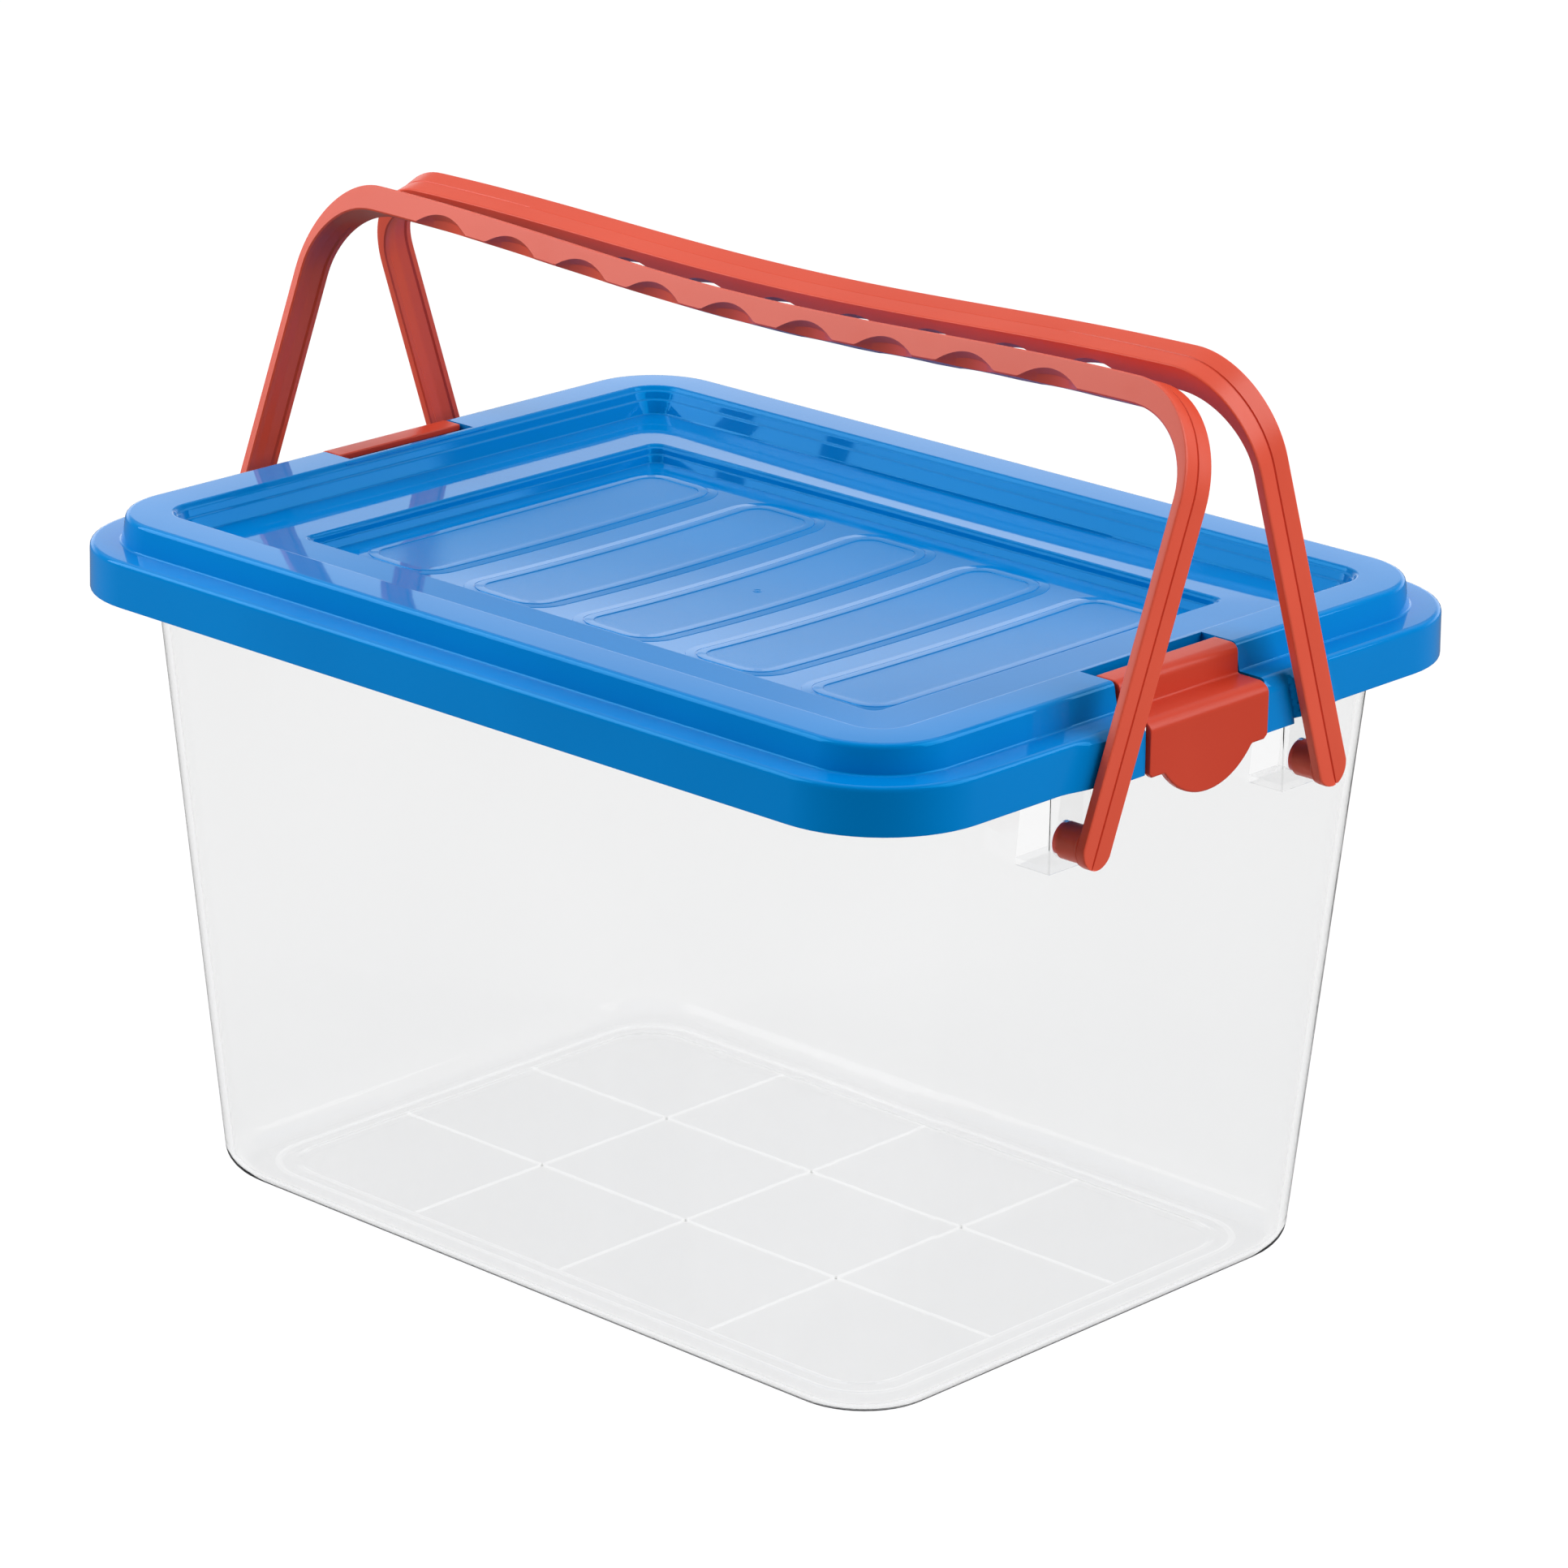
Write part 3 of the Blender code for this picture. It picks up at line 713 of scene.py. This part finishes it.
def floor_rings(drop):
    out = []
    for inset in FLOOR_RINGS:
        r = min(4.5, 0.8 * (LID_Y - inset))
        out.append([(x, y, floor_height(x, y) - drop) for x, y, _ in lid_loop(inset, 0.0, r)])
    return out


top_floor, low_floor = floor_rings(0.0), floor_rings(SHEET)
top_side = loft(rings + top_floor, cap_first=False)
low_rings = list(reversed(low_floor)) + [shaped(i, z, False) for i, z in under]
low_side = loft(low_rings, cap_last=False)
lip = loft([low_rings[-1], rings[0]], cap_first=False, cap_last=False)
lid_shell = to_object("lid_shell", [top_side, low_side, lip])


def weld(mesh, apart, then):
    """Merge vertices this close, take one more step, and count the edges that stay open."""
    work = bmesh.new()
    work.from_mesh(mesh)
    bmesh.ops.remove_doubles(work, verts=work.verts, dist=apart)
    then(work)
    bmesh.ops.recalc_face_normals(work, faces=work.faces)
    still_open = sum(1 for e in work.edges if len(e.link_faces) != 2)
    work.to_mesh(mesh)
    work.free()
    return still_open


def close_middle(work):
    """The last floor loops meet on the middle line."""
    middle = [v for v in work.verts if abs(v.co.y) < 0.00003 and abs(v.co.x) < 0.1 and v.co.z < 0.2297]
    bmesh.ops.remove_doubles(work, verts=middle, dist=0.00006)


open_edges = weld(lid_shell.data, 0.000002, close_middle)
print("lid shell:", len(lid_shell.data.polygons), "faces, open edges", open_edges)

# %% [markdown]
# A pocket behind each latch holds its hinge. The block of the pocket is joined to the hollow
# rim first; then the room for the latch, the gate through the rim and skirt and the hole for
# the hinge pin are cut out of it, in the same order as in the CAD model.

# %% Latch pockets
NOTCH, HINGE_X, HINGE_Z = 30.6, 181.4, 242.4
for s in (1, -1):
    def box_at(x0, x1, y, z0, z1, name):
        lo, hi = sorted((s * x0, s * x1))
        return slab(name, (lo, -y, z0), (hi, y, z1))

    cut_or_join(lid_shell, box_at(169.9, 186.3, 34.6, 236.2, 244.4, "pocket_tool"), "UNION")
    cut_or_join(lid_shell, box_at(172.5, 189.5, NOTCH, 238.0, 250.0, "room_tool"), "DIFFERENCE")
    cut_or_join(lid_shell, box_at(186.3, 206.0, NOTCH, 208.0, 250.0, "gate_tool"), "DIFFERENCE")
    pin_hole = to_object("axle_tool", [rod(s * HINGE_X, HINGE_Z, 1.8, -33.6, 33.6, "Y", 32, 0.0)])
    cut_or_join(lid_shell, pin_hole, "DIFFERENCE")
dress(lid_shell, "lid", "lid", "lid_blue", gloss_blue)

# %% [markdown]
# Five pads stand side by side on the floor of the lid. Each has a smooth rising border, a flat
# shiny ring and a matt textured panel in the middle. One pad is drawn, and a Geometry Nodes tree
# repeats it at an even pitch, drops each copy onto the sagging floor and gives the panels their
# own finish by a face attribute. A small crater in the middle of the lid is the gate mark.

# %% One pad
pad_profile = [(0.0, -0.30), (0.0, 0.0), (0.12, 0.10), (0.30, 0.12), (2.5, 0.22), (3.35, 0.26), (3.5, 0.16),
               (3.7, 0.16), (3.85, 0.36), (4.1, 0.42), (6.9, 0.42), (7.15, 0.38), (7.3, 0.20), (7.6, 0.16)]
pad_ends = [k / 12 - 1 for k in range(25)]
PAD_X, PAD_Y, PAD_R, PAD_PITCH, PANEL_INSET = 21.0, 77.0, 14.0, 53.0, 7.38


def pad_loop(inset, z):
    """Loop of the pad: wide round corners outside, tighter ones round the panel."""
    radius = max(PAD_R - inset, 0.02) if inset < 12 else 0.6 * (PAD_X - inset)
    return loop(PAD_X - inset, PAD_Y - inset, radius, z, pad_ends, (-1, 0, 1), 10)


steps_in = (10.0, 13.0, 16.0, 18.5, 20.2, 20.98)
pad_rings = [pad_loop(i, -0.30) for i in reversed((3.0, 6.5) + steps_in)]
pad_rings += [pad_loop(i, z) for i, z in pad_profile] + [pad_loop(i, 0.16) for i in steps_in]
pad = to_object("pad_master", [loft(pad_rings)])


def drop_slivers(work):
    """Both sides of the last loops meet on the middle line; the sliver of a cap goes away."""
    bmesh.ops.dissolve_degenerate(work, edges=work.edges, dist=0.000001)


open_edges = weld(pad.data, 0.00006, drop_slivers)
smooth(pad.data)
pad.data.materials.append(gloss_blue)
mark = pad.data.attributes.new("panel", "BOOLEAN", "FACE")
panel_x, panel_y = (PAD_X - PANEL_INSET) * MM, (PAD_Y - PANEL_INSET) * MM
for face in pad.data.polygons:
    c = face.center
    mark.data[face.index].value = abs(c.x) < panel_x and abs(c.y) < panel_y and c.z > 0
print("pad:", len(pad.data.polygons), "faces,", sum(m.value for m in mark.data), "on the panel,",
      open_edges, "edges open")

# %% Row of pads
pads, pi_, po = group_tree("row_of_pads", ("Pitch", "Sag", "Edge Height", "Half Length", "Half Width"),
                           ("Count",), (("Pad", "NodeSocketObject"),
                                        ("Smooth Finish", "NodeSocketMaterial"),
                                        ("Panel Finish", "NodeSocketMaterial")))
pull = add(pads, "GeometryNodeObjectInfo", (-650, 200), {"Object": pi_.outputs["Pad"]})
offset = add(pads, "ShaderNodeCombineXYZ", (-650, -100), {0: pi_.outputs["Pitch"]})
half_row = maths(pads, "MULTIPLY", maths(pads, "SUBTRACT", pi_.outputs["Count"], 1.0, (-650, -250)),
                 maths(pads, "MULTIPLY", pi_.outputs["Pitch"], -0.5, (-650, -400)), (-500, -300))
first = add(pads, "ShaderNodeCombineXYZ", (-400, -300), {0: half_row})
line = add(pads, "GeometryNodeMeshLine", (-400, -100), {"Count": pi_.outputs["Count"],
           "Start Location": first, "Offset": offset}, mode="OFFSET")
put = add(pads, "GeometryNodeInstanceOnPoints", (-200, 0), {"Points": line,
          "Instance": pull.outputs["Geometry"]})
real = add(pads, "GeometryNodeRealizeInstances", (0, 0), {0: put})
spot = add(pads, "GeometryNodeInputPosition", (-400, -500))
xyz = add(pads, "ShaderNodeSeparateXYZ", (-250, -500), {0: spot})


def bow(axis, half, y):
    """1 in the middle and 0 at the edge of the floor, along one axis."""
    part = maths(pads, "DIVIDE", xyz.outputs[axis], pi_.outputs[half], (-100, y))
    return maths(pads, "SUBTRACT", 1.0, maths(pads, "MULTIPLY", part, part, (0, y)), (100, y))


dip = maths(pads, "MULTIPLY", bow("X", "Half Length", -450), bow("Y", "Half Width", -600), (200, -500))
drop = maths(pads, "MULTIPLY", dip, pi_.outputs["Sag"], (300, -500))
rise = maths(pads, "SUBTRACT", pi_.outputs["Edge Height"], drop, (400, -500))
move = add(pads, "ShaderNodeCombineXYZ", (500, -400), {2: rise})
settle = add(pads, "GeometryNodeSetPosition", (300, 0), {"Geometry": real,
             "Offset": move})
panel_mark = add(pads, "GeometryNodeInputNamedAttribute", (300, -200), data_type="BOOLEAN")
panel_mark.inputs["Name"].default_value = "panel"
coat_all = add(pads, "GeometryNodeSetMaterial", (500, 0))
coat_panel = add(pads, "GeometryNodeSetMaterial", (700, 0), {"Geometry": coat_all,
                 "Selection": panel_mark, "Material": pi_.outputs["Panel Finish"]})
wire(pads, (settle, coat_all.inputs["Geometry"]),
     (pi_.outputs["Smooth Finish"], coat_all.inputs["Material"]), (coat_panel, po.inputs[0]))

lid_pads = run_tree("lid_pads", pads, {
    "Pitch": PAD_PITCH * MM, "Sag": (SAG_EDGE - SAG_MIDDLE) * MM, "Edge Height": (SAG_EDGE + 0.02) * MM,
    "Half Length": FLOOR_X * MM, "Half Width": FLOOR_Y * MM, "Count": 5, "Pad": pad,
    "Smooth Finish": gloss_blue, "Panel Finish": matt_blue})
bpy.data.objects.remove(pad, do_unlink=True)
settle_normals(lid_pads)
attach(lid_pads, "lid")
print("lid pads:", len(lid_pads.data.polygons), "faces,", [m.name for m in lid_pads.data.materials])

# %% Gate mark
panel_z = floor_height(0.0, 0.0) + 0.18
turns = [math.tau * k / 28 for k in range(28)]
crater = ((1.7, -0.3), (1.7, 0.02), (1.45, 0.16), (1.1, 0.10), (0.9, -0.12), (0.55, -0.16), (0.4, 0.05),
          (0.15, 0.10))
mark_rings = [[(r * math.cos(a), r * math.sin(a), panel_z + z) for a in turns] for r, z in crater]
gate_mark = to_object("lid_gate_mark", [loft(mark_rings)])
dress(gate_mark, "lid", None, "lid_blue", gloss_blue)

# %% [markdown]
# Each latch is a folded plate: a flat top over the hinge, a step down, and a front plate that
# ends in a round thumb tongue. Its cross-section is the same all the way along except for the
# lower edge, so it is lofted from one end to the other with the lower edge following the tongue.

# %% Latches
LATCH_HALF, TONGUE_R, TONGUE_Z, END_ROUND, END_CUT = 29.8, 27.5, 232.0, 0.35, 0.22


def latch_bottom(y):
    """Lower edge of the front plate."""
    a = abs(y)
    tongue = TONGUE_Z - math.sqrt(max(TONGUE_R ** 2 - a * a, 0.0)) if a < 23.6 else 999.0
    return min(215.4 + 1.3 * smooth_step(a, 28.6, 29.8), tongue)


def latch_section(y):
    low = latch_bottom(y)
    return soften([(183.0, 242.6, 0), (178.6, 242.6, 0.5), (178.6, 245.0, 0.6), (188.9, 245.0, 3.4),
                   (189.2, 234.9, 1.0), (199.6, 234.7, 1.6), (202.6, 232.6, 1.9), (202.6, low, 0.9),
                   (200.1, low, 0.6), (200.1, 226.4, 0.3), (197.2, 227.8, 0.3), (197.2, 229.7, 0.3),
                   (200.1, 229.7, 0.3), (200.1, 232.9, 0.8), (186.8, 232.9, 0.8), (186.8, 242.6, 0.8),
                   (183.0, 242.6, 0)])[:-1]


def shrink(outline, by):
    """Move a closed outline inwards along its normals."""
    if by <= 0:
        return outline
    n, out = len(outline), []
    for k in range(n):
        a, b = Vector(outline[k - 1]), Vector(outline[(k + 1) % n])
        t = (b - a).normalized()
        out.append((outline[k][0] + t.y * by, outline[k][1] - t.x * by))
    return out


ys = [-LATCH_HALF + v for v in (0.0, 0.08, 0.2, 0.35)] + [-28.2, -27.0, -25.0, -23.6]
ys += [-23.3 + 0.85 * k for k in range(28)]
ys += [0.0] + [-y for y in reversed(ys)]
for name, s in (("latch_right", 1), ("latch_left", -1)):
    rings = []
    for y in ys:
        near_end = max(0.0, END_ROUND - (LATCH_HALF - abs(y)))
        by = END_ROUND - math.sqrt(max(END_ROUND ** 2 - near_end ** 2, 0.0))
        rings.append([(s * x, y, z) for x, z in shrink(latch_section(y), min(by, END_CUT))])
    parts = [loft(rings), rod(s * HINGE_X, HINGE_Z, 2.3, -29.4, 29.4, "Y", 32),
             rod(s * HINGE_X, HINGE_Z, 1.7, -33.0, 33.0, "Y", 24, 0.3)]
    piece = to_object(name + "_plate", parts)
    dress(piece, name, name, "latch_red", latch_red)

# %% [markdown]
# The bail handles are a bar bent over the lid. Its legs are a thin strap with a groove down the
# outside and a shallow valley inside; over the bend it grows into a deep grip with nine finger
# scallops on each lower edge. It is one sweep: a section of fixed point count is carried along
# the centre line, and its depth, groove and scallops change from station to station.

# %% Handle rules
LEG_OUT, STRAP, LEG_DEEP, GRIP_DEEP = grip_high[0], 7.0, 3.6, 9.2
BEND_S, BEND_RX, BEND_RS, GRIP_SAG = 113.0, 30.2, 36.0, 5.5
SCALLOPS, PITCH, SCALLOP_HALF, SCALLOP_DEEP, TOE = 9, 35.4, 12.5, 4.5, 7.2


def grip_height(x):
    """Outside of the grip above the pins, lower in the middle."""
    half = LEG_OUT - BEND_RX
    return BEND_S + BEND_RS - GRIP_SAG * 0.5 * (1 + math.cos(math.pi * x / half))


def scallop(x):
    """Depth of the finger scallop at a place along the grip."""
    nearest = min(range(-(SCALLOPS // 2), SCALLOPS // 2 + 1), key=lambda i: abs(x - i * PITCH))
    t = (x - nearest * PITCH) / SCALLOP_HALF
    return SCALLOP_DEEP * max(0.0, 1 - t * t)


def stations():
    """(x, s, inward x, inward s, depth, scallop, groove, width) from the right pin to the middle."""
    out = []
    for k in range(7):
        a = math.radians(84 - 12 * k)
        down, wide = math.sin(a), math.cos(a)
        out.append((LEG_OUT, -TOE * down, -1, 0, LEG_DEEP - 0.5 * down ** 4, 0, 1, TOE * wide))
    out += [(LEG_OUT, s, -1, 0, LEG_DEEP, 0, 1, STRAP) for s in (6.0, 20.0, 40.0, 60.0, 80.0, 100.0, BEND_S)]
    half = LEG_OUT - BEND_RX
    for k in range(1, 25):
        a = math.radians(90.0 * k / 24)
        deep = LEG_DEEP + (GRIP_DEEP - LEG_DEEP) * smooth_step(k / 24, 0.05, 1.0)
        out.append((half + BEND_RX * math.cos(a), BEND_S + BEND_RS * math.sin(a), -math.cos(a), -math.sin(a),
                    deep, 0, 1 - 0.55 * smooth_step(k / 24, 0.4, 1.0), STRAP))
    count = 132
    for k in range(1, count + 1):
        x = half * (1 - k / count)
        groove = 0.45 - 0.33 * smooth_step(half - x, 0.0, 60.0)
        out.append((x, grip_height(x), 0, -1, GRIP_DEEP, scallop(x), groove, STRAP))
    return out


def section(depth, cut, groove, width):
    """Closed outline (across, inward) of the bar; always the same number of points."""
    k = width / STRAP
    valley = 1.0 - smooth_step(depth, 4.0, 8.0)
    share = cut / SCALLOP_DEEP
    foot = (6.5 - 5.0 * share) * k
    low = depth - 0.5 - cut
    mid = ((7.0 * k + foot) / 2 - 0.75 * share, (low + depth) / 2 - 0.75 * share)
    half = [(0.0, 0.25 + 0.75 * groove), (0.22, 0.25 + 0.7 * groove), (0.45 * k, 0.18 + 0.25 * groove),
            (3.4 * k, 0.12 + 0.08 * groove), (6.1 * k, 0.0), (6.6 * k, 0.08), (6.9 * k, 0.3), (7.0 * k, 0.75),
            (7.0 * k, 0.5 * low + 0.3), (7.0 * k, low), mid, (foot, depth),
            ((0.72 * foot), depth - 0.05 * valley), (0.62 * foot, depth - 0.75 * valley),
            (0.12 * foot, depth - 1.15 * valley)]
    other = [(-a, t) for a, t in reversed(half[1:])]
    return half + [(0.0, depth - 1.25 * valley)] + other


print("stations on half a handle:", len(stations()), "points round it:", len(section(5, 0, 1, 7)))

# %% Handles
def build_handle(name, body, side_y, lean, twist):
    """twist lifts one end of a handle and lowers the other, as moulded plastic warps."""
    along = (-side_y * math.sin(lean), math.cos(lean))
    across = (side_y * math.cos(lean), math.sin(lean))
    right = stations()
    path = right + [(-x, s, -ix, is_, d, c, g, w) for x, s, ix, is_, d, c, g, w in reversed(right[:-1])]
    rings = []
    for x, s, in_x, in_s, depth, cut, groove, width in path:
        lift = twist * (x / LEG_OUT) * smooth_step(s, 20.0, BEND_S)
        ring = []
        for n, t in section(depth, cut, groove, width):
            up = s + in_s * t + lift
            ring.append((x + in_x * t, side_y * PIVOT_Y + up * along[0] + n * across[0],
                         PIVOT_Z + up * along[1] + n * across[1]))
        rings.append(ring)
    parts = [loft(rings)]
    for s in (1, -1):
        ends = sorted((s * (BLOCK_X - 2.2), s * (LEG_OUT - 2.2)))
        parts.append(rod(side_y * PIVOT_Y, PIVOT_Z, 6.25, *ends, "X", 56, 0.6))
        collar = sorted((s * (LEG_OUT - LEG_DEEP - 1.0), s * (LEG_OUT - LEG_DEEP + 0.5)))
        parts.append(rod(side_y * PIVOT_Y, PIVOT_Z, 7.0, *collar, "X", 56, 0.5))
    piece = to_object(name + "_bar", parts, 28.0)
    dress(piece, body, name, "handle_red", coral)


build_handle("handle_front", "handle_front", -1, math.radians(21.4), 0.0)
build_handle("handle_rear", "handle_rear", 1, math.radians(18.6), 3.0)

# %% [markdown]
# The set is as plain as a catalogue page. The floor is a light table, so that the clear plastic
# is lit from below as well. A low white screen behind gives the gloss something to reflect, and
# two large soft boxes stand high at the front left and at the right.

# %% Floor and lights
REACH, DOWN = 9000.0, -0.4
corners = [(x * REACH, y * REACH, DOWN) for x, y in ((-1, -1), (1, -1), (1, 1), (-1, 1))]
floor_mesh = to_object("studio_floor", [(corners, [(0, 1, 2, 3)])])
paper, table, glowing = new_material("light_table")
fill(glowing, {"Base Color": (0.10, 0.10, 0.10, 1.0), "Roughness": 0.9, "Specular IOR Level": 0.0,
     "Emission Color": (1.0, 1.0, 1.0, 1.0)})
seen = add(table, "ShaderNodeLightPath", (-700, 0))
looked_at = maths(table, "MAXIMUM", seen.outputs["Is Camera Ray"], seen.outputs["Is Transmission Ray"],
                  (-450, 0))
glow_level = remap(table, looked_at, 0.0, 1.0, 0.52, 0.97, (-250, 0))
mirrored = maths(table, "SUBTRACT", seen.outputs["Is Glossy Ray"], seen.outputs["Is Transmission Ray"],
                 (-450, -300), clamp=True)
dimmed = maths(table, "MULTIPLY", mirrored, -0.42, (-250, -300))
table.links.new(maths(table, "ADD", glow_level, dimmed, (-100, -100)),
                          glowing.inputs["Emission Strength"])
floor_mesh.data.materials.append(paper)

world = bpy.data.worlds.new("soft_sky")
bpy.context.scene.world = world
world.use_nodes = True
sky = world.node_tree
glow = sky.nodes["Background"]
glow.inputs["Color"].default_value = (1.0, 1.0, 1.0, 1.0)
direction = add(sky, "ShaderNodeTexCoord", (-1100, 0))
parts_of = add(sky, "ShaderNodeSeparateXYZ", (-900, 0), {0: direction.outputs["Generated"]})


def ease(value, low, high, to_low, to_high, place):
    """Even change from one level to another."""
    return remap(sky, value, low, high, to_low, to_high, place, "SMOOTHSTEP")


def towards(x, y, place):
    """Cosine between a sky direction and a level direction."""
    node = add(sky, "ShaderNodeVectorMath", place, {0: direction.outputs["Generated"]},
               operation="DOT_PRODUCT")
    node.inputs[1].default_value = (x, y, 0.0)
    return node.outputs["Value"]


# A low bright screen stands behind the object; the side of the room with the camera is dim.
screen = maths(sky, "MULTIPLY", ease(towards(-0.570, 0.822, (-900, 300)), 0.40, 0.95, 0.0, 1.0, (-700, 300)),
               ease(parts_of.outputs["Z"], 0.22, 0.40, 1.30, 0.12, (-700, 100)), (-450, 200))
room = maths(sky, "MULTIPLY", ease(towards(0.683, -0.730, (-900, -200)), 0.2, 0.9, 1.0, 0.12, (-700, -200)),
             ease(parts_of.outputs["Z"], 0.30, 0.8, 0.14, 0.78, (-700, -400)), (-450, -300))
# Seen directly or through the clear plastic, the backdrop is white all round.
sky_path = add(sky, "ShaderNodeLightPath", (-450, -600))
in_view = maths(sky, "MAXIMUM", sky_path.outputs["Is Camera Ray"], sky_path.outputs["Is Transmission Ray"],
                (-250, -500))
backdrop = maths(sky, "MULTIPLY", in_view, 0.97, (-100, -400))
sky.links.new(maths(sky, "MAXIMUM", maths(sky, "ADD", screen, room, (-250, 0)), backdrop, (-50, 0)),
              glow.inputs["Strength"])


def soft_box(name, place, aim, size, power):
    """Square area light at a place, turned towards a point."""
    data = bpy.data.lights.new(name, "AREA")
    data.energy, data.size, data.shape = power, size, "SQUARE"
    lamp = new_object(name, data)
    lamp.location = place
    lamp.rotation_euler = (Vector(aim) - Vector(place)).to_track_quat("-Z", "Y").to_euler()


soft_box("box_front_left", (-0.90, -0.90, 0.95), (-0.10, -0.12, 0.22), 1.1, 15.0)
soft_box("box_right", (1.05, 0.50, 0.90), (0.20, 0.05, 0.20), 1.1, 12.5)

# %% [markdown]
# The camera looks down on the front right corner from about two metres with a long lens, which
# is how a catalogue shot keeps the sides of a box nearly parallel.

# %% Camera
camera_data = bpy.data.cameras.new("camera")
camera_data.lens, camera_data.sensor_width = 145.8, 36.0
camera = new_object("camera", camera_data)
right_axis, up_axis = Vector((0.7265, 0.6870, 0.0140)), Vector((-0.2318, 0.2258, 0.9462))
right_axis.normalize()
up_axis = (up_axis - right_axis * up_axis.dot(right_axis)).normalized()
back_axis = right_axis.cross(up_axis)
turn = Matrix((right_axis, up_axis, back_axis)).transposed()
camera.matrix_world = Matrix.Translation((1.4365, -1.5189, 0.8715)) @ turn.to_4x4()
bpy.context.scene.camera = camera
bpy.context.scene.view_settings.view_transform = "Standard"
print("camera at", [round(v, 3) for v in camera.location])
